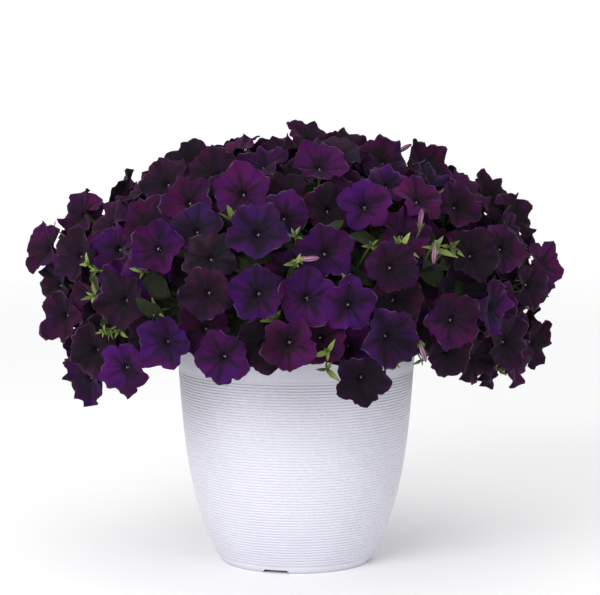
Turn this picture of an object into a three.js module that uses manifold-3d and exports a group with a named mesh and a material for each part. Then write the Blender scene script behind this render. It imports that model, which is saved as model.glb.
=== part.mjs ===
// A mounding petunia in full flower, standing in a ribbed white plastic pot.
// Millimetres, +Z up. The origin is the centre of the pot's foot, on the surface that it stands on.
// -Y is the front. A direction round the pot is an azimuth: 0 is the front and 90 degrees is +X.
//
// The pot and the potting soil are turned shapes. The plant is a set of shoots that stand in plain holes in
// the soil. Each shoot is a green stem with stalked leaves, and carries one spray of blooms and buds, whose
// stalks grow out of a knot just past the stem's end.
import * as THREE from "three";
import { mergeVertices } from "three/addons/utils/BufferGeometryUtils.js";
import Module from "manifold-3d";

const wasm = await Module();
wasm.setup();

// ---------------------------------------------------------------- driving dimensions

const POT = {
  height: 280,
  footRadius: 98,
  rimRadius: 154,
  lowerPull: [142, 80], // Bezier handles of the outer wall, as radius and height
  upperPull: [145.6, 160],
  wall: 3.2,
  footRecess: 7, // how far the underside is raised above the foot ring
  footWidth: 8,
  floor: 4,
  ribLow: 10,
  ribHigh: 251,
  ribs: 12, // larger than life: the real ones are 3.7 apart
  ribDepth: 1.2,
  sides: 30,
  notches: 4,
  notchFirst: -15, // azimuth in degrees
  notchBase: 36,
  notchTop: 29,
  notchHeight: 4.5,
  drainHoles: 4,
  drainRadius: 7,
  drainCircle: 58,
  drainSides: 8,
  insideLevels: 6,
};

const SOIL = { top: 262, gap: 0.35, holeRadius: 3.9, holeDepth: 18 };

// The mound's outside, through the middles of the outermost blooms.
const MOUND = {
  reach: 309, // radius at the waist
  waist: 352, // height of the widest level
  crown: 537,
  droop: 243, // how far below the waist the curve would close
  power: 2.1, // 2 is an ellipse, more is squarer
  skirt: [258, 15, 18], // lowest height: mean, front against back, front and back against sides
  ringGap: 0.87, // distance between two rings of places, as a share of their spacing
  lowest: -50, // degrees of latitude
  latitudeStep: 0.25,
};

const BLOOM = {
  spacing: 45,
  spacingLeast: 37,
  under: { spacing: 24, least: 24, depth: 10, most: 60 }, // blooms that fill the gaps from below
  radius: [31, 35],
  lobes: 5,
  notch: 0.8, // the outline's radius between two lobes, as a share
  notchLift: 0.8,
  dish: 12, // how far the throat lies behind the lobes
  thick: 1.3,
  backShare: 0.97, // the back's radius, as a share of the front's
  stalkSides: 3,
  mouthRadius: 3.6,
  mouthBehind: 2.6,
  outward: 0.45, // how far blooms lean from the mound's normal towards the horizontal
  viewward: 0.9, // how far the front's listed blooms turn to the viewer
  waver: 0.13,
  shift: 5, // random wander from the even places
  layerStep: 4,
  layers: 9,
  clearance: 1.6,
  rimRoom: 3,
  apart: 6, // past this gap between their rims two blooms can't meet
  sampleShares: [0.35, 0.7, 1],
  samples: 40,
};

// The blooms that the front view shows best, read by eye: distance right of the axis and height, in the
// plane of the axis, as seen from the eye.
const EYE = new THREE.Vector3(0, -2640, 610);
const SIGHT = { from: 0.86, to: 1.02, step: 0.0015 }; // shares of the way to the plane of the axis
const FRONT_BLOOMS = [
  [-50, 345], [-50, 425], [15, 340], [40, 405], [90, 460], [-140, 465], [-70, 480], [210, 460],
  [205, 310], [312, 280], [-170, 280], [-95, 260], [-130, 290], [-195, 445], [-95, 310], [70, 330],
  [35, 280], [-225, 245], [-115, 345], [285, 445], [100, 260], [125, 380], [70, 530], [20, 550],
  [-25, 530], [-115, 395], [-225, 335], [-210, 380], [205, 265], [275, 280], [165, 295], [322, 380],
  [305, 355], [250, 470], [-280, 450], [-325, 405], [-305, 315], [-285, 395], [-245, 460], [-170, 490],
  [-135, 515], [-105, 505], [-60, 525], [-15, 485], [45, 470], [-10, 380], [-180, 405], [-245, 360],
  [-265, 270], [-275, 230], [-205, 310], [-250, 415], [-325, 355], [-265, 295], [-165, 345],
  [-220, 480], [-45, 270], [90, 225], [115, 520], [170, 510], [195, 500], [270, 405], [230, 395],
  [235, 350], [185, 355], [280, 325], [140, 335],
];

const SPRAY = {
  tiers: [
    { latitude: 66, count: 4, turn: 20, rootCircle: 30 },
    { latitude: 35, count: 10, turn: 0, rootCircle: 66 },
    { latitude: -2, count: 14, turn: 12, rootCircle: 104 },
  ],
  knotDepth: 88,
  knotRadius: 4.6,
  reach: 4, // how many of the nearest knots a bloom can hang on
  faces: 14, // how many of a knot's best aimed faces are tried for it
  stalkShare: 0.6, // a stalk's radius where it leaves the knot, as a share of the knot's
};

const BUD = {
  count: 15,
  length: 36,
  radius: 3.4,
  belly: 0.35, // how far behind the tip it is widest, as a share of the length
  neck: 0.5, // the neck's radius, as a share of the widest
  apart: 90,
  above: 4, // how far the tip stands out of the mound
  waver: 0.35,
  clearance: 2.5,
  leafRoom: 9,
  stalkShare: 0.7, // the last part of a bloom's stalk, near the knot, isn't tested
  spindleSamples: 6,
  stalkSamples: 14,
};

const STEM = {
  radius: 3.1,
  tipRadius: 2.3,
  sides: 4,
  steps: 3, // from the soil to the leaves
  forks: 4, // short stretches that leaves grow from
  forkStep: 6,
  tipGap: 1,
  bare: 12, // under the knot
  bendShare: 0.25, // how far across the bend lies from the root to the knot
  rise: 0.62,
  lift: 22,
  soilLift: 2,
  room: 6, // between a stem's axis and another shoot's leaves
};

const LEAF = {
  places: 22, // spacing of the places that are tried
  wander: 3,
  room: -5, // least distance from the place to the nearest bloom's rim
  apart: 26,
  most: 3, // leaves of a shoot
  length: [34, 46],
  width: 0.5, // share of the length
  widest: 0.42, // where it is widest, as a share of the length
  thick: 1.6,
  fold: 0.14, // depth of the folded midrib, as a share of the width
  keel: 0.2, // how far the rib lies below the neck, as a share of the fold
  neckWidth: 0.14, // share of the width
  neckLift: [0.4, 1],
  depth: [20, 46], // how far the blade's foot lies under the mound's outside
  footBack: 0.35, // how far the foot lies back from the place, as a share of the length
  tries: 22,
  lean: [50, 80], // degrees between the blade and the mound's normal
  clearance: 2.6,
  stalkRoom: 1.2,
  gap: 5, // between two leaves
  stalkSamples: 9,
  edgeSamples: 3,
  insideSample: 0.4, // how far across the blade its inner samples lie
  below: 12, // how far a tip may hang below the lowest blooms
};

// Past these distances from a leaf's foot nothing is tested.
const FAR = { bloom: 130, stem: 160, leaf: 110 };

const COLOURS = {
  pot: { color: "#e4e2ee", roughness: 0.5, metalness: 0 },
  soil: { color: "#33261d", roughness: 0.95, metalness: 0 },
  petal: { color: "#32143f", roughness: 0.75, metalness: 0 },
  green: { color: "#7f9a45", roughness: 0.6, metalness: 0 },
};

// ---------------------------------------------------------------- small tools

const RAD = Math.PI / 180;
const TURN = 2 * Math.PI;
const UP = new THREE.Vector3(0, 0, 1);

const RANDOM = { first: 555, factor: 48271, prime: 2147483647 };
let seed = RANDOM.first;
// The next of a fixed row of random numbers, between low and high.
function draw(low, high) {
  seed = (seed * RANDOM.factor) % RANDOM.prime;
  return low + ((high - low) * seed) / RANDOM.prime;
}

const vec = (x, y, z) => new THREE.Vector3(x, y, z);
const along = (p, direction, distance) => p.clone().addScaledVector(direction, distance);
const range = (count) => Array.from({ length: count }, (_, i) => i);

function drawDirection() {
  return vec(draw(-1, 1), draw(-1, 1), draw(-1, 1));
}

// Two unit vectors square to a direction.
function squareTo(w) {
  const helper = Math.abs(w.z) < 0.9 ? UP : vec(1, 0, 0);
  const u = helper.clone().cross(w).normalize();
  return [u, w.clone().cross(u)];
}

// A ring of points round a centre, square to w.
function ringOf(centre, w, radius, sides, turn = 0) {
  const [u, v] = squareTo(w);
  return range(sides).map((i) => {
    const a = turn + (TURN * i) / sides;
    return along(along(centre, u, radius * Math.cos(a)), v, radius * Math.sin(a));
  });
}

// Triangles between two rings that run the same way round and start near each other.
function band(faces, a, b) {
  let i = 0;
  let j = 0;
  while (i < a.length || j < b.length) {
    const p = a[i % a.length];
    const q = b[j % b.length];
    if (j >= b.length || (i < a.length && (i + 0.5) / a.length < (j + 0.5) / b.length)) {
      faces.push(p, a[(i + 1) % a.length], q);
      i += 1;
    } else {
      faces.push(p, b[(j + 1) % b.length], q);
      j += 1;
    }
  }
}

function fan(faces, middle, ring) {
  ring.forEach((p, i) => faces.push(middle, p, ring[(i + 1) % ring.length]));
}

function capEnd(faces, ring, flip) {
  for (let i = 1; i + 1 < ring.length; i += 1) {
    const [p, q] = flip ? [ring[i + 1], ring[i]] : [ring[i], ring[i + 1]];
    faces.push(ring[0], p, q);
  }
}

// The ring, started at the corner nearest to a point.
function startNear(ring, point) {
  const distances = ring.map((p) => p.distanceTo(point));
  const first = distances.indexOf(Math.min(...distances));
  return ring.map((_, i) => ring[(i + first) % ring.length]);
}

function geometryOf(points) {
  const positions = new Float32Array(points.flatMap((p) => [p.x, p.y, p.z]));
  return new THREE.BufferGeometry().setAttribute("position", new THREE.BufferAttribute(positions, 3));
}

const WELD = 1e-4; // corners nearer than this are one

// A closed geometry as a solid that can be joined and cut.
function solidOf(geometry) {
  const bare = geometry.index ? geometry.toNonIndexed() : geometry;
  const only = new THREE.BufferGeometry().setAttribute("position", bare.getAttribute("position"));
  const merged = mergeVertices(only, WELD);
  const corners = [...merged.index.array];
  const whole = range(corners.length / 3)
    .map((i) => corners.slice(3 * i, 3 * i + 3))
    .filter(([a, b, c]) => a !== b && b !== c && c !== a);
  const mesh = new wasm.Mesh({
    numProp: 3,
    vertProperties: merged.attributes.position.array,
    triVerts: new Uint32Array(whole.flat()),
  });
  return new wasm.Manifold(mesh);
}

function geometryFrom(solid) {
  const mesh = solid.getMesh();
  return new THREE.BufferGeometry()
    .setAttribute("position", new THREE.BufferAttribute(new Float32Array(mesh.vertProperties), 3))
    .setIndex(new THREE.BufferAttribute(new Uint32Array(mesh.triVerts), 1));
}

// Faces of a closed tube through points, with a radius at each. The walls come first, stretch by stretch.
function tubeFaces(points, radii, sides) {
  const rings = points.map((p, i) => {
    const before = points[Math.max(i - 1, 0)];
    const after = points[Math.min(i + 1, points.length - 1)];
    return ringOf(p, after.clone().sub(before).normalize(), radii[i], sides);
  });
  const faces = [];
  for (let i = 0; i + 1 < rings.length; i += 1) {
    const ahead = points[i + 1].clone().sub(points[i]).add(rings[i][0]);
    band(faces, rings[i], startNear(rings[i + 1], ahead));
  }
  capEnd(faces, rings[0], true);
  capEnd(faces, rings[rings.length - 1], false);
  return faces;
}

// Faces that a stalk can grow from: their corners, and the middle and the way of each.
function socketsOf(faces) {
  return range(faces.length / 3).map((i) => {
    const [a, b, c] = faces.slice(3 * i, 3 * i + 3);
    const middle = a.clone().add(b).add(c).multiplyScalar(1 / 3);
    const way = b.clone().sub(a).cross(c.clone().sub(a)).normalize();
    return { corners: [a, b, c], middle, way };
  });
}

// How well a socket points at a target: 1 is straight at it.
const aimAt = ({ middle, way }, target) => target.clone().sub(middle).normalize().dot(way);

const cornersOf = (sockets) => sockets.flatMap(({ corners }) => corners);

// A face's three corners, in the order that brings each nearest to one of a ring of three.
function turnedTo(ring, [p, q, r]) {
  const reach = (corners) => corners.reduce((sum, corner, i) => sum + corner.distanceTo(ring[i]), 0);
  const orders = [[p, q, r], [q, r, p], [r, p, q]];
  return orders.reduce((least, order) => (reach(order) < reach(least) ? order : least));
}

const STALK = { leastHeight: 0.7, sections: [0.1, 0.5, 0.9] }; // of a section, and the shares of its length

// Whether a stalk between a socket and a ring of three keeps some thickness, seen along its way.
function isStout(socket, ring) {
  const foot = turnedTo(ring, socket.corners);
  const middle = ring[0].clone().add(ring[1]).add(ring[2]).multiplyScalar(1 / 3);
  const way = middle.sub(socket.middle).normalize();
  return STALK.sections.every((share) => {
    const [a, b, c] = foot.map((p, i) => p.clone().lerp(ring[i], share).projectOnPlane(way));
    const longest = Math.max(a.distanceTo(b), b.distanceTo(c), c.distanceTo(a));
    return b.sub(a).cross(c.sub(a)).dot(way) > STALK.leastHeight * longest;
  });
}

// The sides of a stalk between a socket and a ring of three.
function stalkFrom(socket, ring) {
  const faces = [];
  band(faces, turnedTo(ring, socket.corners), ring);
  return faces;
}

// ---------------------------------------------------------------- what passes through what

// Faces as triangles, each with the box round it, to test against others.
function pieceOf(faces) {
  const triangles = range(faces.length / 3).map((i) => {
    const corners = faces.slice(3 * i, 3 * i + 3);
    return { corners, box: new THREE.Box3().setFromPoints(corners) };
  });
  return { faces, triangles, box: new THREE.Box3().setFromPoints(faces) };
}

// Whether the line from p to q passes through a triangle.
function passes([p, q], [a, b, c]) {
  const way = q.clone().sub(p);
  const hit = new THREE.Ray(p, way).intersectTriangle(a, b, c, false, vec(0, 0, 0));
  return hit !== null && hit.distanceToSquared(p) <= way.lengthSq();
}

// Whether two triangles cross. At a corner that they share, only the sides opposite to it count.
function trianglesCross(one, two) {
  if (!one.box.intersectsBox(two.box)) return false;
  const isShared = (p) =>
    [one, two].every(({ corners }) => corners.some((q) => q.distanceToSquared(p) < WELD ** 2));
  if (one.corners.filter(isShared).length > 1) return false;
  const sidesOf = ({ corners: [a, b, c] }) =>
    [[a, b], [b, c], [c, a]].filter((side) => !side.some(isShared));
  return (
    sidesOf(one).some((side) => passes(side, two.corners)) ||
    sidesOf(two).some((side) => passes(side, one.corners))
  );
}

function piecesCross(one, two) {
  if (!one.box.intersectsBox(two.box)) return false;
  const near = two.triangles.filter(({ box }) => box.intersectsBox(one.box));
  return one.triangles.some((triangle) => near.some((other) => trianglesCross(triangle, other)));
}

const crossesItself = ({ triangles }) =>
  triangles.some((triangle, i) => triangles.slice(i + 1).some((other) => trianglesCross(triangle, other)));

function isClear(piece, others) {
  return !crossesItself(piece) && !others.some((other) => piecesCross(piece, other));
}

// ---------------------------------------------------------------- pot and soil

const HALVINGS = 30; // of the curve's range, to find the point at a height

// Radius of the pot's outer wall between its ribs' crests, at a height.
function potRadius(z) {
  const curve = new THREE.CubicBezierCurve(
    new THREE.Vector2(POT.footRadius, 0),
    new THREE.Vector2(...POT.lowerPull),
    new THREE.Vector2(...POT.upperPull),
    new THREE.Vector2(POT.rimRadius, POT.height),
  );
  let low = 0;
  let high = 1;
  for (let i = 0; i < HALVINGS; i += 1) {
    const t = (low + high) / 2;
    if (curve.getPoint(t).y < z) low = t;
    else high = t;
  }
  return curve.getPoint(low).x;
}

function turned(profile, sides) {
  const points = profile.map(([r, z]) => new THREE.Vector2(r, z));
  return solidOf(new THREE.LatheGeometry(points, sides).rotateX(Math.PI / 2));
}

const FLOOR_TOP = POT.footRecess + POT.floor;
const INSIDE = range(POT.insideLevels).map((i) => {
  const z = FLOOR_TOP + ((POT.height - FLOOR_TOP) * i) / (POT.insideLevels - 1);
  return [potRadius(z) - POT.wall - POT.ribDepth, z];
});

// Radius of the pot's inside at a height, along the straight stretches of its profile.
function insideRadius(z) {
  const above = INSIDE.findIndex(([, level]) => level >= z);
  const [[r0, z0], [r1, z1]] = [INSIDE[Math.max(0, above - 1)], INSIDE[Math.max(1, above)]];
  return r0 + ((r1 - r0) * (z - z0)) / (z1 - z0);
}

function potSolid() {
  const pitch = (POT.ribHigh - POT.ribLow) / POT.ribs;
  const ribs = range(POT.ribs).flatMap((i) => {
    const crest = POT.ribLow + i * pitch;
    const valley = crest + pitch / 2;
    return [
      [potRadius(crest), crest],
      [potRadius(valley) - POT.ribDepth, valley],
    ];
  });
  const profile = [
    [0, POT.footRecess],
    [POT.footRadius - POT.footWidth, POT.footRecess],
    [POT.footRadius - POT.footWidth, 0],
    [POT.footRadius, 0],
    ...ribs,
    [potRadius(POT.ribHigh), POT.ribHigh],
    [POT.rimRadius, POT.height],
    ...[...INSIDE].reverse(),
    [0, FLOOR_TOP],
  ];
  const cuts = [...range(POT.notches).map(notchCutter), ...range(POT.drainHoles).map(drainCutter)];
  return cuts.reduce((body, cutter) => body.subtract(cutter), turned(profile, POT.sides));
}

// A trapezoid through the foot ring.
function notchCutter(i) {
  const past = 2; // how far a cutter runs past what it cuts
  const shape = new THREE.Shape([
    new THREE.Vector2(-POT.notchBase / 2, -past),
    new THREE.Vector2(POT.notchBase / 2, -past),
    new THREE.Vector2(POT.notchBase / 2, 0),
    new THREE.Vector2(POT.notchTop / 2, POT.notchHeight),
    new THREE.Vector2(-POT.notchTop / 2, POT.notchHeight),
    new THREE.Vector2(-POT.notchBase / 2, 0),
  ]);
  const inner = POT.footRadius - POT.footWidth - past - POT.notchBase ** 2 / (8 * POT.footRadius);
  const depth = POT.footRadius + 4 * past - inner;
  const azimuth = (POT.notchFirst + (360 * i) / POT.notches) * RAD;
  return solidOf(
    new THREE.ExtrudeGeometry(shape, { depth, bevelEnabled: false })
      .rotateX(Math.PI / 2)
      .translate(0, -inner, 0)
      .rotateZ(azimuth),
  );
}

function drainCutter(i) {
  const azimuth = (POT.notchFirst + (360 * (i + 0.5)) / POT.drainHoles) * RAD;
  return solidOf(
    new THREE.CylinderGeometry(POT.drainRadius, POT.drainRadius, 3 * POT.floor, POT.drainSides)
      .rotateX(Math.PI / 2)
      .translate(0, -POT.drainCircle, POT.footRecess + POT.floor / 2)
      .rotateZ(azimuth),
  );
}

function soilSolid(roots) {
  const bottom = FLOOR_TOP + SOIL.gap;
  const between = INSIDE.filter(([, z]) => z > bottom && z < SOIL.top);
  const levels = [bottom, ...between.map(([, z]) => z), SOIL.top];
  const wall = levels.map((z) => [insideRadius(z) - SOIL.gap, z]);
  const profile = [[0, bottom], ...wall, [0, SOIL.top]];
  const hole = (root) => {
    const ends = [along(root, UP, -SOIL.holeDepth), along(root, UP, SOIL.holeDepth)];
    return solidOf(geometryOf(tubeFaces(ends, [SOIL.holeRadius, SOIL.holeRadius], STEM.sides)));
  };
  return roots.reduce((body, root) => body.subtract(hole(root)), turned(profile, POT.sides));
}

// ---------------------------------------------------------------- the mound's outside

const riseAt = (z) => (z >= MOUND.waist ? MOUND.crown - MOUND.waist : MOUND.droop);

function onMound(azimuth, latitude) {
  const share = 2 / MOUND.power;
  const rise = latitude >= 0 ? MOUND.crown - MOUND.waist : MOUND.droop;
  const radius = MOUND.reach * Math.cos(latitude) ** share;
  const height = MOUND.waist + rise * Math.sign(latitude) * Math.abs(Math.sin(latitude)) ** share;
  return vec(radius * Math.sin(azimuth), -radius * Math.cos(azimuth), height);
}

// Below 1 inside the mound, above 1 outside it.
function moundLevel(p) {
  const out = Math.hypot(p.x, p.y) / MOUND.reach;
  const up = Math.abs(p.z - MOUND.waist) / riseAt(p.z);
  return out ** MOUND.power + up ** MOUND.power;
}

function moundNormal(p) {
  const radius = Math.hypot(p.x, p.y);
  const out = (radius / MOUND.reach) ** (MOUND.power - 1) / MOUND.reach;
  const height = p.z - MOUND.waist;
  const rise = riseAt(p.z);
  const up = (Math.sign(height) * (Math.abs(height) / rise) ** (MOUND.power - 1)) / rise;
  const scale = radius > 1 ? out / radius : 0;
  return vec(p.x * scale, p.y * scale, up).normalize();
}

function skirtAt(azimuth) {
  const [mean, front, sides] = MOUND.skirt;
  return mean + front * Math.cos(azimuth) + sides * Math.cos(2 * azimuth);
}

// Where the line of sight to a point in the plane of the axis meets the mound, or passes nearest to it.
function seenOnMound([x, z]) {
  const sight = vec(x, 0, z).sub(EYE);
  const { from, to, step } = SIGHT;
  let nearest = null;
  for (let t = from; t < to; t += step) {
    const p = along(EYE, sight, t);
    const level = moundLevel(p);
    if (level <= 1) return p;
    if (!nearest || level < nearest.level) nearest = { p, level };
  }
  return nearest.p;
}

// Rings of even places from the crown down, each place wandering a little.
function evenPlaces(spacing, wander) {
  const places = [];
  let walked = spacing;
  let last = onMound(0, Math.PI / 2);
  for (let latitude = 90; latitude > MOUND.lowest; latitude -= MOUND.latitudeStep) {
    const here = onMound(0, latitude * RAD);
    walked += here.distanceTo(last);
    last = here;
    if (walked < spacing * MOUND.ringGap) continue;
    walked = 0;
    const count = Math.max(1, Math.round((TURN * Math.hypot(here.x, here.y)) / spacing));
    const turn = draw(0, TURN);
    for (const i of range(count)) {
      const azimuth = turn + (TURN * i) / count;
      const p = along(onMound(azimuth, latitude * RAD), drawDirection(), wander);
      if (p.z > skirtAt(azimuth)) places.push(p);
    }
  }
  return places;
}

// ---------------------------------------------------------------- where the blooms are

// A bloom stands on the mound's outside, or some layers deeper so that its petals clear its neighbours'.
function bloomAt(place, listed, placed) {
  const normal = moundNormal(place);
  const level = vec(place.x, place.y, 0).normalize();
  const facing = normal.clone().addScaledVector(level, BLOOM.outward);
  if (listed) facing.addScaledVector(EYE.clone().sub(place).normalize(), BLOOM.viewward);
  facing.addScaledVector(drawDirection(), BLOOM.waver).normalize();
  const bloom = { facing, radius: draw(...BLOOM.radius), spin: draw(0, TURN) };
  for (const layer of range(BLOOM.layers)) {
    bloom.middle = along(place, normal, -layer * BLOOM.layerStep);
    if (!placed.every((other) => petalsClear(bloom, other) && petalsClear(other, bloom))) continue;
    addHead(bloom);
    if (isClear(bloom.head, placed.map(({ head }) => head))) return bloom;
  }
  return null;
}

// Height of a bloom's face over its own middle plane, at a distance from its axis.
const faceHeight = (bloom, s) => -BLOOM.dish * (1 - s / bloom.radius);

// Where a point lies on a bloom: how far from its axis, and how far in front of its face.
function placeOn(bloom, p) {
  const offset = p.clone().sub(bloom.middle);
  const w = offset.dot(bloom.facing);
  const s = Math.sqrt(Math.max(0, offset.lengthSq() - w * w));
  return { s, over: w - faceHeight(bloom, s) };
}

// Whether points all pass in front of a bloom's face, or all behind it, at some distance.
function sameSide(points, bloom, clearance) {
  let front = 0;
  let back = 0;
  for (const p of points) {
    const { s, over } = placeOn(bloom, p);
    if (s > bloom.radius + BLOOM.rimRoom) continue;
    if (over < clearance && over > -BLOOM.thick - clearance) return false;
    if (over > 0) front += 1;
    else back += 1;
  }
  return front === 0 || back === 0;
}

// Points spread over a bloom's face.
function faceSamples(bloom) {
  return BLOOM.sampleShares.flatMap((share) => {
    const centre = along(bloom.middle, bloom.facing, faceHeight(bloom, bloom.radius * share));
    return ringOf(centre, bloom.facing, bloom.radius * share, BLOOM.samples);
  });
}

// Whether one bloom's face passes wholly in front of another's, or wholly behind it.
function petalsClear(bloom, other) {
  if (bloom.middle.distanceTo(other.middle) > bloom.radius + other.radius + BLOOM.apart) return true;
  return sameSide(faceSamples(bloom), other, BLOOM.clearance);
}

function outerBlooms() {
  const placed = [];
  const listed = FRONT_BLOOMS.map(seenOnMound);
  const places = [...listed, ...evenPlaces(BLOOM.spacing, BLOOM.shift)];
  places.forEach((place, i) => {
    const isListed = i < listed.length;
    if (!isListed && placed.some((b) => b.middle.distanceTo(place) < BLOOM.spacingLeast)) return;
    const bloom = bloomAt(place, isListed, placed);
    if (bloom) placed.push(bloom);
  });
  return placed;
}

// How far a point lies from the nearest bloom's rim.
const roomAt = (p, blooms) => Math.min(...blooms.map((b) => b.middle.distanceTo(p) - b.radius));

// ---------------------------------------------------------------- sprays

// Each spray's knot lies under the middle of the blooms nearest to it, and its stem leads there.
function groupsFor(blooms) {
  const groups = SPRAY.tiers.flatMap(({ latitude, count, turn, rootCircle }) =>
    range(count).map((i) => {
      const azimuth = (turn + (360 * i) / count) * RAD;
      const root = vec(rootCircle * Math.sin(azimuth), -rootCircle * Math.cos(azimuth), SOIL.top);
      return { root, centre: onMound(azimuth, latitude * RAD), blooms: [], buds: [], leaves: [] };
    }),
  );
  for (const group of groups) {
    const near = blooms.filter((bloom) => nearestTo(bloom.middle, groups) === group);
    const middle = near.reduce((sum, b) => sum.add(b.middle), vec(0, 0, 0)).multiplyScalar(1 / near.length);
    group.knot = along(middle, moundNormal(middle), -SPRAY.knotDepth);
    group.path = stemPath(group);
    group.stem = stemOf(group);
    group.knotSkin = socketsOf(knotFaces(group.knot));
    group.knotPiece = pieceOf(cornersOf(group.knotSkin));
    group.stemPiece = pieceOf(cornersOf(group.stem.skin));
  }
  return groups;
}

function nearestTo(point, groups) {
  return groups.reduce((best, group) =>
    group.centre.distanceTo(point) < best.centre.distanceTo(point) ? group : best,
  );
}

const mouthOf = (bloom) => along(bloom.middle, bloom.facing, -BLOOM.dish - BLOOM.mouthBehind);

// A bloom's dished five-lobed face and its back, down to the mouth, the ring that its stalk meets.
function addHead(bloom) {
  const { middle, facing, radius, spin } = bloom;
  const halfLobe = TURN / BLOOM.lobes / 2;
  const lobes = ringOf(middle, facing, radius, BLOOM.lobes, spin);
  const lifted = along(middle, facing, BLOOM.notchLift);
  const notches = ringOf(lifted, facing, radius * BLOOM.notch, BLOOM.lobes, spin + halfLobe);
  const front = lobes.flatMap((p, i) => [p, notches[i]]);
  const rear = along(middle, facing, -BLOOM.thick);
  const back = ringOf(rear, facing, radius * BLOOM.backShare, BLOOM.lobes, spin);
  bloom.mouth = ringOf(mouthOf(bloom), facing, BLOOM.mouthRadius, BLOOM.stalkSides, spin);
  const faces = [];
  fan(faces, along(middle, facing, -BLOOM.dish), front);
  band(faces, back, front);
  band(faces, bloom.mouth, back);
  bloom.head = pieceOf(faces);
}

const neckOf = ({ tip, direction }) =>
  ringOf(along(tip, direction, -BUD.length), direction, BUD.radius * BUD.neck, BLOOM.stalkSides);

// A furled bud on its stalk: a slim spindle.
function budPiece(bud, socket) {
  const { tip, direction } = bud;
  const bellyMiddle = along(tip, direction, -BUD.length * BUD.belly);
  const belly = ringOf(bellyMiddle, direction, BUD.radius, BLOOM.stalkSides);
  const neck = neckOf(bud);
  const faces = stalkFrom(socket, neck);
  fan(faces, tip, belly);
  band(faces, neck, belly);
  return pieceOf(faces);
}

function knotFaces(knot) {
  const geometry = new THREE.IcosahedronGeometry(SPRAY.knotRadius).translate(...knot);
  const position = geometry.getAttribute("position");
  return range(position.count).map((i) => new THREE.Vector3().fromBufferAttribute(position, i));
}

// The rest of a skin, round one of its sockets, without those that are taken.
const skinRound = (skin, socket) => pieceOf(cornersOf(skin.filter((other) => other !== socket)));

// The knot's free faces, the best aimed at a point first.
function bestSockets(group, target) {
  const aimed = group.knotSkin.map((socket) => ({ socket, aim: aimAt(socket, target) }));
  return aimed.sort((a, b) => b.aim - a.aim).map(({ socket }) => socket).slice(0, SPRAY.faces);
}

function takeSocket(group, socket) {
  group.knotSkin = group.knotSkin.filter((other) => other !== socket);
}

// Hangs a bloom on the nearest knot that can send it a stalk through nothing else. Some blooms find none.
function hang(bloom, groups, grown) {
  if (!isClear(bloom.head, grown)) return false;
  const gapTo = ({ centre }) => centre.distanceTo(bloom.middle);
  for (const group of [...groups].sort((a, b) => gapTo(a) - gapTo(b)).slice(0, SPRAY.reach)) {
    const others = grown.filter((piece) => piece !== group.knotPiece);
    for (const socket of bestSockets(group, mouthOf(bloom))) {
      if (!isStout(socket, bloom.mouth)) continue;
      const stalk = pieceOf(stalkFrom(socket, bloom.mouth));
      if (!isClear(stalk, [...others, bloom.head, skinRound(group.knotSkin, socket)])) continue;
      takeSocket(group, socket);
      Object.assign(bloom, { stalk, group });
      group.blooms.push(bloom);
      return true;
    }
  }
  return false;
}

// The outer blooms, and under them others in the places where they leave the most room.
function hangBlooms(outer, groups) {
  const fixed = groups.flatMap(({ knotPiece, stemPiece }) => [knotPiece, stemPiece]);
  const hung = [];
  const piecesOf = (blooms) => blooms.flatMap(({ head, stalk }) => [head, stalk]);
  outer.forEach((bloom, i) => {
    const waiting = outer.slice(i + 1).map(({ head }) => head);
    if (hang(bloom, groups, [...fixed, ...piecesOf(hung), ...waiting])) hung.push(bloom);
  });
  const { spacing, least, depth, most } = BLOOM.under;
  const places = evenPlaces(spacing, BLOOM.shift).map((p) => ({ p, room: roomAt(p, hung) }));
  const full = hung.length + most;
  for (const { p } of places.sort((a, b) => b.room - a.room)) {
    if (hung.length >= full) break;
    const deep = along(p, moundNormal(p), -depth);
    if (hung.some((b) => b.middle.distanceTo(deep) < least)) continue;
    const bloom = bloomAt(deep, false, hung);
    if (bloom && hang(bloom, groups, [...fixed, ...piecesOf(hung)])) hung.push(bloom);
  }
  return hung;
}

function spraySolid({ blooms, buds, knotSkin }) {
  const pieces = [...blooms.flatMap(({ head, stalk }) => [head, stalk]), ...buds.map(({ piece }) => piece)];
  return solidOf(geometryOf([...pieces.flatMap(({ faces }) => faces), ...cornersOf(knotSkin)]));
}

// ---------------------------------------------------------------- shoots

// The stem's line: from its hole in the soil up to just short of the knot, with short stretches at the end.
function stemPath({ root, knot }) {
  const foot = along(root, UP, SOIL.gap - SOIL.holeDepth);
  const bend = root.clone().lerp(knot, STEM.bendShare);
  bend.z = root.z + (knot.z - root.z) * STEM.rise + STEM.lift;
  const curve = new THREE.QuadraticBezierCurve3(along(root, UP, STEM.soilLift), bend, knot);
  const length = curve.getLength();
  const tip = length - SPRAY.knotRadius - STEM.tipGap;
  const forks = tip - STEM.bare - STEM.forks * STEM.forkStep;
  const stations = [
    ...range(STEM.steps).map((i) => (forks * i) / STEM.steps),
    ...range(STEM.forks + 1).map((i) => forks + i * STEM.forkStep),
    tip,
  ];
  return [foot, ...stations.map((s) => curve.getPointAt(s / length))];
}

// The stem's faces, and the free ones among them that leaves can grow from.
function stemOf({ path }) {
  const radii = path.map((_, i) => STEM.radius + ((STEM.tipRadius - STEM.radius) * i) / path.length);
  const skin = socketsOf(tubeFaces(path, radii, STEM.sides));
  const stretch = 2 * STEM.sides; // faces
  const forksEnd = (path.length - 2) * stretch;
  return { skin, free: skin.slice(forksEnd - STEM.forks * stretch, forksEnd) };
}

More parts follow.
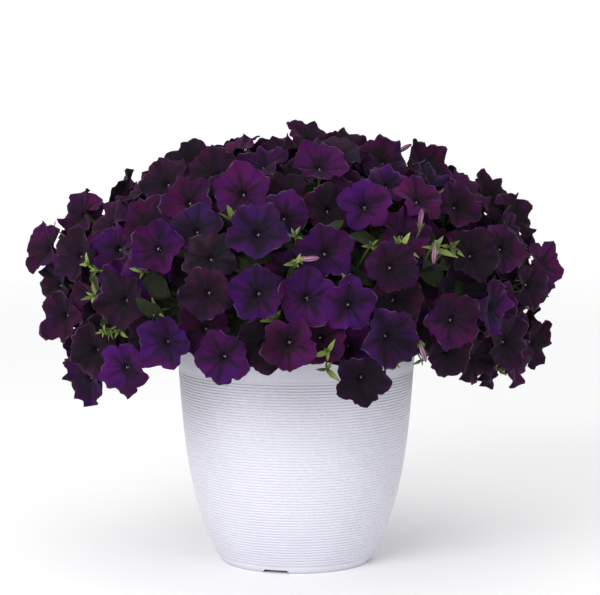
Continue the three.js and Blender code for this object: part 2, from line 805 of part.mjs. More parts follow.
// A leaf's blade, folded on its midrib: its points in rows across.
function leafPoints(leaf) {
  const { foot, tip, width } = leaf;
  const { way, side, up } = leaf.frame;
  const length = foot.distanceTo(tip);
  const at = (share, across, lift) =>
    along(along(along(foot, way, share * length), side, across * width), up, lift);
  const fold = LEAF.fold * width;
  const [over, under] = LEAF.neckLift;
  const rib = -fold * LEAF.keel;
  return {
    neck: [at(0, -LEAF.neckWidth / 2, over), at(0, LEAF.neckWidth / 2, over), at(0, 0, -under)],
    left: at(LEAF.widest, -0.5, fold),
    right: at(LEAF.widest, 0.5, fold),
    rib: at(LEAF.widest, 0, rib),
    under: at(LEAF.widest, 0, rib - LEAF.thick),
    tip,
  };
}

// A leaf with a long stalk out of one face of the stem.
function leafPiece(leaf) {
  const { neck, left, right, rib, under, tip } = leafPoints(leaf);
  const [neckLeft, neckRight, neckUnder] = neck;
  return pieceOf([
    ...[neckLeft, rib, left, neckLeft, neckRight, rib, neckRight, right, rib],
    ...[left, rib, tip, rib, right, tip],
    ...[neckLeft, left, under, neckLeft, under, neckUnder, neckUnder, under, neckRight],
    ...[neckRight, under, right, left, tip, under, under, tip, right],
    ...stalkFrom(leaf.socket, neck),
  ]);
}

// Points spread over a leaf's blade and stalk, to test what it comes near.
function leafSamples(leaf) {
  const { left, right, tip, neck } = leafPoints(leaf);
  const foot = neck[2];
  const halfway = (p, q) => p.clone().lerp(q, 0.5);
  const inwards = (p) => halfway(p, left).lerp(right, LEAF.insideSample);
  const edges = [foot, left, tip, right];
  const blade = edges.flatMap((p, i) => {
    const next = edges[(i + 1) % edges.length];
    return range(LEAF.edgeSamples).map((k) => p.clone().lerp(next, k / LEAF.edgeSamples));
  });
  blade.push(halfway(left, right), inwards(foot), inwards(tip));
  const stalk = turnedTo(neck, leaf.socket.corners).flatMap((corner, k) =>
    range(LEAF.stalkSamples).map((i) => corner.clone().lerp(neck[k], (i + 1) / (LEAF.stalkSamples + 1))),
  );
  return { blade, all: [...blade, ...stalk] };
}

function distanceToLine(p, a, b) {
  const line = new THREE.Line3(a, b);
  return line.closestPointToPoint(p, true, vec(0, 0, 0)).distanceTo(p);
}

function bladeFrame({ foot, tip, normal }) {
  const way = tip.clone().sub(foot).normalize();
  const side = way.clone().cross(normal).normalize();
  return { way, side, up: side.clone().cross(way) };
}

// Whether points all pass over a leaf's blade, or all under it, at some distance.
function bladeClears(leaf, points) {
  const { way, side, up } = leaf.frame;
  const length = leaf.foot.distanceTo(leaf.tip);
  let over = 0;
  let under = 0;
  for (const p of points) {
    const offset = p.clone().sub(leaf.foot);
    const ahead = offset.dot(way);
    if (ahead < -LEAF.clearance || ahead > length + LEAF.clearance) continue;
    if (Math.abs(offset.dot(side)) > leaf.width / 2 + LEAF.clearance) continue;
    const lift = offset.dot(up);
    if (Math.abs(lift) < LEAF.clearance + LEAF.thick) return false;
    if (lift > 0) over += 1;
    else under += 1;
  }
  return over === 0 || under === 0;
}

// Distance from a point to the skin of a bloom's stalk, which widens from the knot to the bloom.
function roomToStalk(p, bloom) {
  const line = new THREE.Line3(bloom.group.knot, mouthOf(bloom));
  const t = line.closestPointToPointParameter(p, true);
  const radius = THREE.MathUtils.lerp(SPRAY.knotRadius * SPRAY.stalkShare, BLOOM.mouthRadius, t);
  return line.at(t, vec(0, 0, 0)).distanceTo(p) - radius;
}

function leafFits(leaf, blooms, groups, leaves) {
  const { all } = leaf.samples;
  const { foot } = leaf;
  for (const bloom of blooms) {
    if (bloom.middle.distanceTo(foot) > FAR.bloom) continue;
    if (!sameSide(all, bloom, LEAF.clearance) || !bladeClears(leaf, faceSamples(bloom))) return false;
    if (all.some((p) => roomToStalk(p, bloom) < LEAF.stalkRoom)) return false;
  }
  for (const group of groups) {
    if (group === leaf.group || group.knot.distanceTo(foot) > FAR.stem) continue;
    for (const i of range(group.path.length - 1)) {
      if (all.some((p) => distanceToLine(p, group.path[i], group.path[i + 1]) < STEM.room)) return false;
    }
  }
  return leaves.every((other) => {
    if (other.foot.distanceTo(foot) > FAR.leaf) return true;
    const others = other.group === leaf.group ? other.samples.blade : other.samples.all;
    return all.every((p) => others.every((q) => p.distanceTo(q) > LEAF.gap));
  });
}

// A leaf at a place, turned at random about the mound's normal.
function leafAt(place, group) {
  const normal = moundNormal(place);
  const [u, v] = squareTo(normal);
  const length = draw(...LEAF.length);
  const lean = draw(...LEAF.lean) * RAD;
  const turn = draw(0, TURN);
  const flat = u.multiplyScalar(Math.cos(turn)).addScaledVector(v, Math.sin(turn));
  const way = normal.clone().multiplyScalar(Math.cos(lean)).addScaledVector(flat, Math.sin(lean));
  const foot = along(along(place, normal, -draw(...LEAF.depth)), flat, -length * LEAF.footBack);
  const leaf = { place, group, foot, tip: along(foot, way, length), normal, width: length * LEAF.width };
  leaf.frame = bladeFrame(leaf);
  const aimed = group.stem.free.map((socket) => ({ socket, aim: aimAt(socket, foot) }));
  leaf.socket = aimed.reduce((best, other) => (other.aim > best.aim ? other : best)).socket;
  leaf.samples = leafSamples(leaf);
  return leaf;
}

// All that has grown so far, apart from the stem or knot that a new piece grows on.
const grownBeside = (own, groups) =>
  groups.flatMap((group) => [
    ...group.blooms.flatMap(({ head, stalk }) => [head, stalk]),
    ...[...group.leaves, ...group.buds].map(({ piece }) => piece),
    ...[group.knotPiece, group.stemPiece].filter((piece) => piece !== own),
  ]);

// Leaves fill the places where the blooms leave the most room.
function allLeaves(blooms, groups) {
  const places = evenPlaces(LEAF.places, LEAF.wander)
    .map((p) => ({ p, room: roomAt(p, blooms) }))
    .filter(({ room }) => room > LEAF.room)
    .sort((a, b) => b.room - a.room);
  const leaves = [];
  for (const { p } of places) {
    const group = nearestTo(p, groups);
    if (group.leaves.length >= LEAF.most) continue;
    if (leaves.some((leaf) => leaf.place.distanceTo(p) < LEAF.apart)) continue;
    const lowest = skirtAt(Math.atan2(p.x, -p.y)) - LEAF.below;
    for (let i = 0; i < LEAF.tries; i += 1) {
      const leaf = leafAt(p, group);
      if (leaf.tip.z < lowest || !leafFits(leaf, blooms, groups, leaves)) continue;
      if (!isStout(leaf.socket, leafPoints(leaf).neck)) continue;
      leaf.piece = leafPiece(leaf);
      const stemSkin = skinRound(group.stem.skin, leaf.socket);
      if (!isClear(leaf.piece, [...grownBeside(group.stemPiece, groups), stemSkin])) continue;
      leaves.push(leaf);
      group.leaves.push(leaf);
      group.stem.free = group.stem.free.filter((socket) => socket !== leaf.socket);
      group.stem.skin = group.stem.skin.filter((socket) => socket !== leaf.socket);
      break;
    }
  }
  return leaves;
}

// Furled buds stand in some of the places that are left.
function addBuds(blooms, groups, leaves) {
  const buds = [];
  for (const p of evenPlaces(LEAF.places, LEAF.wander)) {
    if (buds.length >= BUD.count) break;
    const group = nearestTo(p, groups);
    const direction = moundNormal(p).addScaledVector(drawDirection(), BUD.waver).normalize();
    const bud = { tip: along(p, direction, BUD.above), direction };
    const samples = budSamples(bud, group.knot);
    if (buds.some((other) => other.tip.distanceTo(p) < BUD.apart)) continue;
    if (!samples.every((q) => blooms.every((bloom) => budClears(q, bloom)))) continue;
    const nearBud = (q) => samples.some((r) => r.distanceTo(q) < BUD.leafRoom);
    if (leaves.some((leaf) => leaf.samples.all.some(nearBud))) continue;
    const grown = grownBeside(group.knotPiece, groups);
    const socket = bestSockets(group, bud.tip)
      .filter((face) => isStout(face, neckOf(bud)))
      .find((face) => isClear(budPiece(bud, face), [...grown, skinRound(group.knotSkin, face)]));
    if (!socket) continue;
    bud.piece = budPiece(bud, socket);
    takeSocket(group, socket);
    buds.push(bud);
    group.buds.push(bud);
  }
}

function budSamples({ tip, direction }, knot) {
  const neck = along(tip, direction, -BUD.length);
  const { spindleSamples, stalkSamples } = BUD;
  const spindle = range(spindleSamples).map((i) => tip.clone().lerp(neck, i / (spindleSamples - 1)));
  return [...spindle, ...range(stalkSamples).map((i) => neck.clone().lerp(knot, i / (stalkSamples + 1)))];
}

// Whether a point of a bud clears a bloom's petals and the wide end of its stalk.
function budClears(p, bloom) {
  const { s, over } = placeOn(bloom, p);
  const reach = BUD.radius + BUD.clearance;
  if (s < bloom.radius + reach && over < reach && over > -BLOOM.thick - reach) return false;
  const stalk = new THREE.Line3(mouthOf(bloom), bloom.group.knot);
  const t = stalk.closestPointToPointParameter(p, true);
  return t > BUD.stalkShare || stalk.at(t, vec(0, 0, 0)).distanceTo(p) > BLOOM.mouthRadius + reach;
}

const shootSolid = ({ stem, leaves }) =>
  solidOf(geometryOf([...cornersOf(stem.skin), ...leaves.flatMap(({ piece }) => piece.faces)]));

// ---------------------------------------------------------------- assembly

const part = new THREE.Group();

function addNode(name, solid, colour) {
  const mesh = new THREE.Mesh(geometryFrom(solid), new THREE.MeshStandardMaterial(colour));
  mesh.name = name;
  part.add(mesh);
}

const outer = outerBlooms();
const groups = groupsFor(outer);
const blooms = hangBlooms(outer, groups);
const leaves = allLeaves(blooms, groups);
addBuds(blooms, groups, leaves);

addNode("pot", potSolid(), COLOURS.pot);
addNode("soil", soilSolid(groups.map((group) => group.root)), COLOURS.soil);
groups.forEach((group, i) => {
  const number = String(i + 1).padStart(2, "0");
  addNode(`spray_${number}`, spraySolid(group), COLOURS.petal);
  addNode(`shoot_${number}`, shootSolid(group), COLOURS.green);
});

export default part;
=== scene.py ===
"""A petunia in full dark purple flower, in a ribbed white plastic pot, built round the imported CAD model.

Lengths are in millimetres until a mesh is made. The front is -Y, and an azimuth of 0 is the front.
Each fine bloom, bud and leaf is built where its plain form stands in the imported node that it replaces.
"""

import math

import bpy
import numpy as np
from mathutils import Matrix


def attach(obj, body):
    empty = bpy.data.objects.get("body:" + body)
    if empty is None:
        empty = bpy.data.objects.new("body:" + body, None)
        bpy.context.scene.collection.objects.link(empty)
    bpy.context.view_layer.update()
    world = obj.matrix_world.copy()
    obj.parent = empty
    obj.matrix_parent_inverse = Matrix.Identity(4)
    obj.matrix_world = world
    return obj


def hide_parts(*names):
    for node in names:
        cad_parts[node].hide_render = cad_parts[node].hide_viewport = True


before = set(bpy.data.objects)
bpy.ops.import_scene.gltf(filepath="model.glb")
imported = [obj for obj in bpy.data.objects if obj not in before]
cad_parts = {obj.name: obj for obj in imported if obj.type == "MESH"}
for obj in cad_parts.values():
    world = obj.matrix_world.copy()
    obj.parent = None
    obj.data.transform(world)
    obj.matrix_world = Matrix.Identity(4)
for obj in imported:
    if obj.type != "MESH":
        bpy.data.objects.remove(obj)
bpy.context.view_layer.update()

METRES = 0.001
TURN = 2 * math.pi
UP = np.array([0.0, 0.0, 1.0])
EYE = np.array([0.0, -2640.0, 610.0])
rng = np.random.RandomState(20117)


def put_in_scene(name, data):
    thing = bpy.data.objects.new(name, data)
    bpy.context.scene.collection.objects.link(thing)
    return thing


# ---- camera

CAMERA_RIGHT = 5.0
CAMERA_PITCH = 5.85  # degrees below the horizon
CAMERA_LENS = 123.6


def make_camera():
    data = bpy.data.cameras.new("camera")
    data.lens = CAMERA_LENS
    data.sensor_width = 36.0
    data.clip_start, data.clip_end = 0.1, 60.0
    camera = put_in_scene("camera", data)
    camera.location = (EYE + [CAMERA_RIGHT, 0, 0]) * METRES
    camera.rotation_euler = (math.radians(90 - CAMERA_PITCH), 0, 0)
    bpy.context.scene.camera = camera


make_camera()

# ---- sizes that the CAD model was driven by

POT_FOOT, POT_RIM, POT_HEIGHT = 98.0, 154.0, 280.0
POT_PULLS = (142.0, 80.0), (145.6, 160.0)
POT_WALL = 3.2
FOOT_RECESS, FOOT_WIDTH, FLOOR = 7.0, 8.0, 4.0
RIB_LOW, RIB_HIGH, RIB_PITCH, RIB_DEPTH = 10.0, 251.0, 3.7, 0.85
NOTCH_FIRST, NOTCH_BASE, NOTCH_TOP, NOTCH_HEIGHT = -15.0, 36.0, 29.0, 4.5
DRAIN_RADIUS, DRAIN_CIRCLE = 7.0, 58.0
SOIL_TOP = 262.0
BLOOM_DISH, BLOOM_THICK, DISH_POWER = 12.0, 0.7, 1.3
BUD_LENGTH, BUD_RADIUS = 36.0, 3.4
KNOT_RADIUS = 4.6
STEM_BEND, STEM_RISE, STEM_LIFT = 0.25, 0.62, 22.0  # where a stem bends: shares of the way, and a height
MOUND_REACH, MOUND_WAIST, MOUND_CROWN, MOUND_DROOP, MOUND_POWER = 309.0, 352.0, 537.0, 243.0, 2.1
SKIRT = 258.0, 15.0, 18.0  # lowest height: mean, front against back, front and back against sides

# The blooms that the front view shows best, by the letter of their tint: distance right of the axis and
# height in the plane of the axis, as seen from the eye.
FRONT_BLOOMS = {
    "V": [(-50, 345), (15, 340), (40, 405), (90, 460), (-170, 280), (-95, 260), (70, 330), (-225, 245),
          (-210, 380), (-60, 525), (-180, 405), (-245, 360), (-275, 230), (-250, 415)],
    "B": [(-50, 425), (100, 260)],
    "M": [(-140, 465), (-70, 480), (205, 310), (-130, 290)],
    "P": [(210, 460), (-195, 445), (35, 280), (125, 380), (20, 550), (322, 380), (-280, 450), (-325, 405),
          (-305, 315), (-245, 460), (45, 470), (-10, 380), (115, 520), (195, 500), (270, 405), (280, 325)],
    "D": [(312, 280), (285, 445), (70, 530), (-25, 530), (205, 265), (275, 280), (165, 295), (305, 355),
          (250, 470), (-285, 395), (-170, 490), (-135, 515), (-105, 505), (-15, 485), (-205, 310),
          (-325, 355), (-265, 295), (-165, 345), (-220, 480), (-45, 270), (90, 225), (230, 395),
          (235, 350), (185, 355), (140, 335)],
    "G": [(-115, 395)],
}
# Petal colours, linear, and how often each is drawn for the blooms that aren't listed.
TINTS = {
    "V": (0.027, 0.0034, 0.042),
    "B": (0.018, 0.0048, 0.029),
    "M": (0.030, 0.0036, 0.029),
    "P": (0.023, 0.0034, 0.022),
    "D": (0.015, 0.0037, 0.014),
    "G": (0.018, 0.0100, 0.020),
}
TINT_SHARES = {"V": 0.2, "B": 0.08, "M": 0.12, "P": 0.28, "D": 0.27, "G": 0.05}

# Tips of young shoots that show between the blooms from the front: distance right of the axis, height,
# and size in millimetres.
FRONT_TIPS = [
    (-85, 455, 30), (-150, 430, 24), (-200, 392, 26), (-258, 392, 18), (-262, 345, 26), (-240, 335, 18),
    (-185, 322, 22), (-262, 285, 16), (-302, 437, 16), (-35, 325, 26), (12, 390, 22), (160, 428, 34),
    (185, 424, 34), (205, 420, 28), (180, 478, 24), (95, 405, 22), (88, 322, 22), (160, 262, 18),
    (250, 262, 18), (120, 252, 18), (50, 268, 26), (62, 262, 24), (-20, 480, 16), (-120, 470, 14),
]
# Furled buds seen from the front: right of the axis, height, and the way they point in the picture plane.
FRONT_BUDS = [(20, 390, 1.0, 0.1), (148, 530, 0.9, 0.5), (167, 390, -0.1, -1.0), (160, 440, 0.1, 1.0),
              (165, 268, 0.3, -0.9), (38, 552, 0.3, 0.9)]
FRONT_BUD_LENGTH, FRONT_BUD_RADIUS = 30.0, 2.9
TIP_SEARCH, BUD_SEARCH = 20.0, 18.0  # how far from its listed place a tip or a bud may stand
INNER_LEAVES = [(700, 36, 78), (220, 85, 140)]  # how many are tried, and how deep under the mound's outside
OTHER_TIPS = 50

# ---- small tools


def unit(v):
    v = np.asarray(v, float)
    return v / np.maximum(np.linalg.norm(v, axis=-1, keepdims=True), 1e-12)


def square_to(w):
    helper = UP if abs(w[2]) < 0.9 else np.array([1.0, 0, 0])
    u = unit(np.cross(helper, w))
    return u, np.cross(w, u)


def circle(a, x, y):
    return np.cos(a)[..., None] * x + np.sin(a)[..., None] * y


def far(points, p):
    return np.linalg.norm(points - p, axis=1)


def nearest(points, p):
    return points[np.argmin(far(points, p))]


def smooth(low, high, x):
    t = np.clip((x - low) / (high - low), 0, 1)
    return t * t * (3 - 2 * t)


class Body:
    """Vertices and faces of one piece, gathered patch by patch."""

    def __init__(self):
        self.points, self.quads, self.tris = [], [], []
        self.quad_slots, self.tri_slots = [], []
        self.tints, self.forms = [], []
        self.count = 0

    def add(self, points, quads=(), tris=(), tint=(0, 0, 0), form=(0, 0, 0), slot=0):
        points = np.asarray(points, float).reshape(-1, 3)
        n = len(points)
        quads = np.asarray(quads, int).reshape(-1, 4)
        tris = np.asarray(tris, int).reshape(-1, 3)
        self.points.append(points)
        self.quads.append(quads + self.count)
        self.tris.append(tris + self.count)
        self.quad_slots.append(np.full(len(quads), slot))
        self.tri_slots.append(np.full(len(tris), slot))
        self.tints.append(np.broadcast_to(np.asarray(tint, float), (n, 3)))
        self.forms.append(np.broadcast_to(np.asarray(form, float), (n, 3)))
        self.count += n

    def make(self, name, materials, slot, nodes=()):
        quads, tris = np.concatenate(self.quads), np.concatenate(self.tris)
        loops = np.concatenate([quads.ravel(), tris.ravel()])
        starts = np.concatenate([np.arange(len(quads)) * 4, len(quads) * 4 + np.arange(len(tris)) * 3])
        mesh = bpy.data.meshes.new(name)
        mesh.vertices.add(self.count)
        mesh.vertices.foreach_set("co", (np.concatenate(self.points) * METRES).astype(np.float32).ravel())
        mesh.loops.add(len(loops))
        mesh.loops.foreach_set("vertex_index", loops.astype(np.int32))
        mesh.polygons.add(len(starts))
        mesh.polygons.foreach_set("loop_start", starts.astype(np.int32))
        mesh.polygons.foreach_set("use_smooth", np.ones(len(starts), bool))
        mesh.polygons.foreach_set(
            "material_index", np.concatenate(self.quad_slots + self.tri_slots).astype(np.int32)
        )
        tint = mesh.attributes.new("tint", "FLOAT_COLOR", "POINT")
        colours = np.hstack([np.concatenate(self.tints), np.ones((self.count, 1))])
        tint.data.foreach_set("color", colours.astype(np.float32).ravel())
        form = mesh.attributes.new("form", "FLOAT_VECTOR", "POINT")
        form.data.foreach_set("vector", np.concatenate(self.forms).astype(np.float32).ravel())
        for material in materials:
            mesh.materials.append(material)
        mesh.update(calc_edges=True)
        mesh.validate()
        piece = put_in_scene(name, mesh)
        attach(piece, "root")
        if nodes:
            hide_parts(*nodes)
        return piece


def grid_quads(rows, columns, closed=False, start=0, flip=False):
    """Quads of a grid of points, row by row. A closed grid joins its last column to its first."""
    across = columns if closed else columns - 1
    i, j = np.meshgrid(np.arange(rows - 1), np.arange(across), indexing="ij")
    a = i * columns + j
    b = i * columns + (j + 1) % columns
    quads = np.stack([a, b, b + columns, a + columns], -1).reshape(-1, 4) + start
    return quads[:, ::-1] if flip else quads


def fan_tris(middle, first, count, flip=False):
    i = np.arange(count)
    a, b = first + i, first + (i + 1) % count
    return np.stack([np.full(count, middle), *((b, a) if flip else (a, b))], -1)


def bezier(points, t):
    """Points of a quadratic curve."""
    a, b, c = (np.asarray(p, float) for p in points)
    t = np.asarray(t, float)[:, None]
    return (1 - t) ** 2 * a + 2 * t * (1 - t) * b + t * t * c


def tangents(path):
    return unit(np.gradient(path, axis=0))


def rings(path, radii, sides):
    """Rings of points square to a path, kept from twisting."""
    ways = tangents(path)
    first = square_to(ways[0])[0]
    out = []
    for p, w, r in zip(path, ways, radii):
        first = unit(first - np.dot(first, w) * w)
        second = np.cross(w, first)
        a = TURN * np.arange(sides) / sides
        out.append(p + r * circle(a, first, second))
    return np.array(out)


def add_skin(body, rows, ends, flip=False, **look):
    """A closed skin over rings of points, with one point at each end."""
    n, sides = len(rows), len(rows[0])
    tris = np.concatenate([fan_tris(n * sides, 0, sides, not flip),
                           fan_tris(n * sides + 1, (n - 1) * sides, sides, flip)])
    body.add(np.concatenate([*rows, ends]), grid_quads(n, sides, closed=True, flip=flip), tris, **look)


def add_tube(body, path, radii, sides, **look):
    """A closed round tube along a path."""
    path = np.asarray(path, float)
    add_skin(body, rings(path, radii, sides), path[[0, -1]], **look)


def add_stem(body, path, radii, sides, green):
    add_tube(body, path, radii, sides, tint=green, form=(0.4, 0.6, 0))


def add_ball(body, centre, radius, sides, levels, **look):
    lat = np.linspace(-math.pi / 2, math.pi / 2, levels + 2)[1:-1]
    a = TURN * np.arange(sides) / sides
    flat = np.stack([np.cos(a), np.sin(a)], -1)
    rows = [np.column_stack([flat * math.cos(t), np.full(sides, math.sin(t))]) for t in lat]
    rows = [row * radius + centre for row in rows]
    add_skin(body, rows, np.array([[0, 0, -1], [0, 0, 1]]) * radius + centre, **look)


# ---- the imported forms


def read_node(name):
    """A node's corners in millimetres, and for each corner the ones that it shares a triangle with."""
    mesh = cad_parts[name].data
    co = np.zeros(len(mesh.vertices) * 3, np.float32)
    mesh.vertices.foreach_get("co", co)
    mesh.calc_loop_triangles()
    tris = np.zeros(len(mesh.loop_triangles) * 3, np.int32)
    mesh.loop_triangles.foreach_get("vertices", tris)
    corners = np.round(co.reshape(-1, 3).astype(float) / METRES, 3)
    points, back = np.unique(corners, axis=0, return_inverse=True)
    near = [set() for _ in points]
    for a, b, c in back.reshape(-1)[tris].reshape(-1, 3):
        near[a] |= {b, c}
        near[b] |= {a, c}
        near[c] |= {a, b}
    return points, [sorted(s) for s in near]


def read_blooms(points, near):
    """A bloom's throat is a corner with five lobe tips and five notches round it."""
    found = []
    for i, others in enumerate(near):
        if len(others) != 10:
            continue
        ring = points[others]
        reach = far(ring, points[i])
        order = np.argsort(reach)
        notches, lobes = reach[order[:5]], reach[order[5:]]
        if np.ptp(notches) > 0.2 or np.ptp(lobes) > 0.2 or lobes[0] < 28:
            continue
        tips = ring[order[5:]]
        middle = tips.mean(0)
        facing = unit(middle - points[i])
        radius = np.linalg.norm(tips[0] - middle)
        first = unit(min(tips.tolist()) - middle)
        found.append({"middle": middle, "facing": facing, "radius": radius, "first": first})
    return found


def read_buds(points, near):
    found = []
    belly_far = math.hypot(BUD_LENGTH * 0.35, BUD_RADIUS)
    for i, others in enumerate(near):
        if len(others) == 3:
            ring = points[others]
            if abs(far(ring, points[i]) - belly_far).max() < 0.2:
                found.append({"tip": points[i], "way": unit(points[i] - ring.mean(0))})
    return found


def read_leaves(points, near):
    """A leaf's tip is a corner that meets the two edges, the rib and the keel of its folded blade."""
    found = []
    for i, others in enumerate(near):
        valence = {j: len(near[j]) for j in others}
        if sorted(valence.values()) != [4, 4, 5, 6]:
            continue
        edges = [j for j in others if valence[j] == 4]
        rib = next(j for j in others if valence[j] == 5)
        under = next(j for j in others if valence[j] == 6)
        neck = [j for j in near[rib] if j != i and j not in edges]
        neck += [j for j in near[under] if j != i and j not in edges and j not in neck]
        foot = points[neck].mean(0)
        blade = {i, rib, under, *edges, *neck}
        lower = sorted({j for k in neck for j in near[k]} - blade)
        up = unit(points[rib] - points[under])
        found.append({"foot": foot, "tip": points[i], "up": up, "fork": points[lower].mean(0),
                      "width": np.linalg.norm(points[edges[0]] - points[edges[1]])})
    return found


def stem_path(root, knot, count=60):
    bend = root + STEM_BEND * (knot - root)
    bend[2] = root[2] + (knot[2] - root[2]) * STEM_RISE + STEM_LIFT
    curve = bezier([root + 2 * UP, bend, knot], np.linspace(0, 0.97, count))
    return np.concatenate([[root - 16 * UP], curve])


MOUND_HEART = np.array([0.0, 0.0, 330.0])


def read_plant():
    """The sprays and shoots. A spray's knot is the part of it that lies nearest to the mound's heart."""
    groups = []
    for name in sorted(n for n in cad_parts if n.startswith("spray_")):
        points, near = read_node(name)
        blooms, buds = read_blooms(points, near), read_buds(points, near)
        start = nearest(points, MOUND_HEART)
        knot = points[far(points, start) < 2 * KNOT_RADIUS + 1].mean(0)
        shoot = name.replace("spray", "shoot")
        points, near = read_node(shoot)
        foot = points[points[:, 2] < points[:, 2].min() + 0.5].mean(0)
        root = np.array([foot[0], foot[1], SOIL_TOP])
        groups.append({"number": name[-2:], "blooms": blooms, "buds": buds, "knot": knot, "root": root,
                       "leaves": read_leaves(points, near), "path": stem_path(root, knot)})
    return groups


def rise_at(above):
    return np.where(above, MOUND_CROWN - MOUND_WAIST, MOUND_DROOP)


def mound_normal(p):
    radius = math.hypot(p[0], p[1])
    rise = float(rise_at(p[2] >= MOUND_WAIST))
    out = (radius / MOUND_REACH) ** (MOUND_POWER - 1) / MOUND_REACH
    high = p[2] - MOUND_WAIST
    up = math.copysign((abs(high) / rise) ** (MOUND_POWER - 1), high) / rise
    flat = p[:2] / max(radius, 1) * out
    return unit([flat[0], flat[1], up])


def skirt_at(p):
    """Height of the mound's lower edge on a point's side of the pot."""
    mean, front, sides = SKIRT
    azimuth = math.atan2(p[0], -p[1])
    return mean + front * math.cos(azimuth) + sides * math.cos(2 * azimuth)


def on_mound(azimuth, latitude):
    share = 2 / MOUND_POWER
    rise = float(rise_at(latitude >= 0))
    radius = MOUND_REACH * math.cos(latitude) ** share
    height = MOUND_WAIST + rise * math.copysign(abs(math.sin(latitude)) ** share, latitude)
    return np.array([radius * math.sin(azimuth), -radius * math.cos(azimuth), height])


def mound_level(p):
    p = np.atleast_2d(p)
    rise = rise_at(p[:, 2] >= MOUND_WAIST)
    out = np.hypot(p[:, 0], p[:, 1]) / MOUND_REACH
    return out ** MOUND_POWER + (np.abs(p[:, 2] - MOUND_WAIST) / rise) ** MOUND_POWER


def seen_on_mound(x, z):
    """Where the line of sight to a point in the axis plane first meets the mound, or passes nearest to it."""
    t = np.arange(0.86, 1.02, 0.0015)[:, None]
    line = EYE + t * (np.array([x, 0, z]) - EYE)
    level = mound_level(line)
    inside = np.nonzero(level <= 1)[0]
    return line[inside[0] if len(inside) else np.argmin(level)]


groups = read_plant()
all_blooms = [b for g in groups for b in g["blooms"]]
for group in groups:
    for bloom in group["blooms"]:
        bloom["group"] = group
all_blooms.sort(key=lambda b: tuple(np.round(b["middle"], 1)))
for index, bloom in enumerate(all_blooms):
    bloom["index"] = index
MIDDLES = np.array([b["middle"] for b in all_blooms])
FACINGS = np.array([b["facing"] for b in all_blooms])
RADII = np.array([b["radius"] for b in all_blooms])
KNOTS = np.array([g["knot"] for g in groups])


def give_tints():
    letters = list(TINTS)
    shares = np.array([TINT_SHARES[k] for k in letters])
    for bloom in all_blooms:
        bloom["tint"] = letters[rng.choice(len(letters), p=shares / shares.sum())]
    for letter, places in FRONT_BLOOMS.items():
        for x, z in places:
            all_blooms[np.argmin(far(MIDDLES, seen_on_mound(x, z)))]["tint"] = letter


give_tints()

# ---- materials


class Nodes:
    """A short way to write a material's nodes."""

    def __init__(self, name):
        self.material = bpy.data.materials.new(name)
        self.material.use_nodes = True
        self.tree = self.material.node_tree
        self.shader = self.tree.nodes["Principled BSDF"]

    def put(self, kind, inputs=None, **settings):
        node = self.tree.nodes.new(kind)
        for key, value in settings.items():
            setattr(node, key, value)
        for key, value in (inputs or {}).items():
            self.link(value, node.inputs[key])
        return node

    def link(self, value, socket):
        if isinstance(value, bpy.types.NodeSocket):
            self.tree.links.new(value, socket)
        else:
            socket.default_value = value

    def set(self, **values):
        for key, value in values.items():
            self.link(value, self.shader.inputs[key.replace("_", " ")])

    def tint(self):
        return self.put("ShaderNodeAttribute", attribute_name="tint").outputs["Color"]

    def form(self):
        return self.parts(self.put("ShaderNodeAttribute", attribute_name="form").outputs["Vector"])

    def parts(self, vector):
        node = self.put("ShaderNodeSeparateXYZ", {"Vector": vector})
        return node.outputs[0], node.outputs[1], node.outputs[2]

    def math(self, operation, a, b=0.0):
        return self.put("ShaderNodeMath", {0: a, 1: b}, operation=operation).outputs[0]

    def plus(self, a, b):
        return self.math("ADD", a, b)

    def times(self, a, b):
        return self.math("MULTIPLY", a, b)

    def size(self, a):
        return self.math("ABSOLUTE", a)

    def span(self, value, low, high, to_low=0.0, to_high=1.0):
        inputs = {"Value": value, "From Min": low, "From Max": high, "To Min": to_low, "To Max": to_high}
        return self.put("ShaderNodeMapRange", inputs, interpolation_type="SMOOTHSTEP").outputs[0]

    def mix(self, factor, a, b, way="MIX"):
        node = self.put("ShaderNodeMix", data_type="RGBA", blend_type=way)
        for socket, value in zip((node.inputs[0], node.inputs[6], node.inputs[7]), (factor, a, b)):
            self.link(value, socket)
        return node.outputs[2]

    def shade(self, colour, r, g, b):
        return self.mix(1.0, colour, rgb(r, g, b), "MULTIPLY")

    def place(self):
        return self.put("ShaderNodeTexCoord").outputs["Object"]

    def shifted(self, x, y, z):
        return self.put("ShaderNodeMapping", {"Vector": self.place(), "Location": (x, y, z)}).outputs[0]

    def noise(self, scale, detail=3.0, vector=None):
        vector = self.place() if vector is None else vector
        return self.put("ShaderNodeTexNoise", {"Vector": vector, "Scale": scale, "Detail": detail}).outputs[0]

    def uneven(self, scale, low=0.0, high=1.0):
        """A value that drifts between two bounds over the surface."""
        return self.span(self.noise(scale), 0.3, 0.7, low, high)

    def bump(self, height, distance):
        inputs = {"Height": height, "Distance": distance}
        self.link(self.put("ShaderNodeBump", inputs).outputs[0], self.shader.inputs["Normal"])


def rgb(r, g, b):
    return (r, g, b, 1.0)


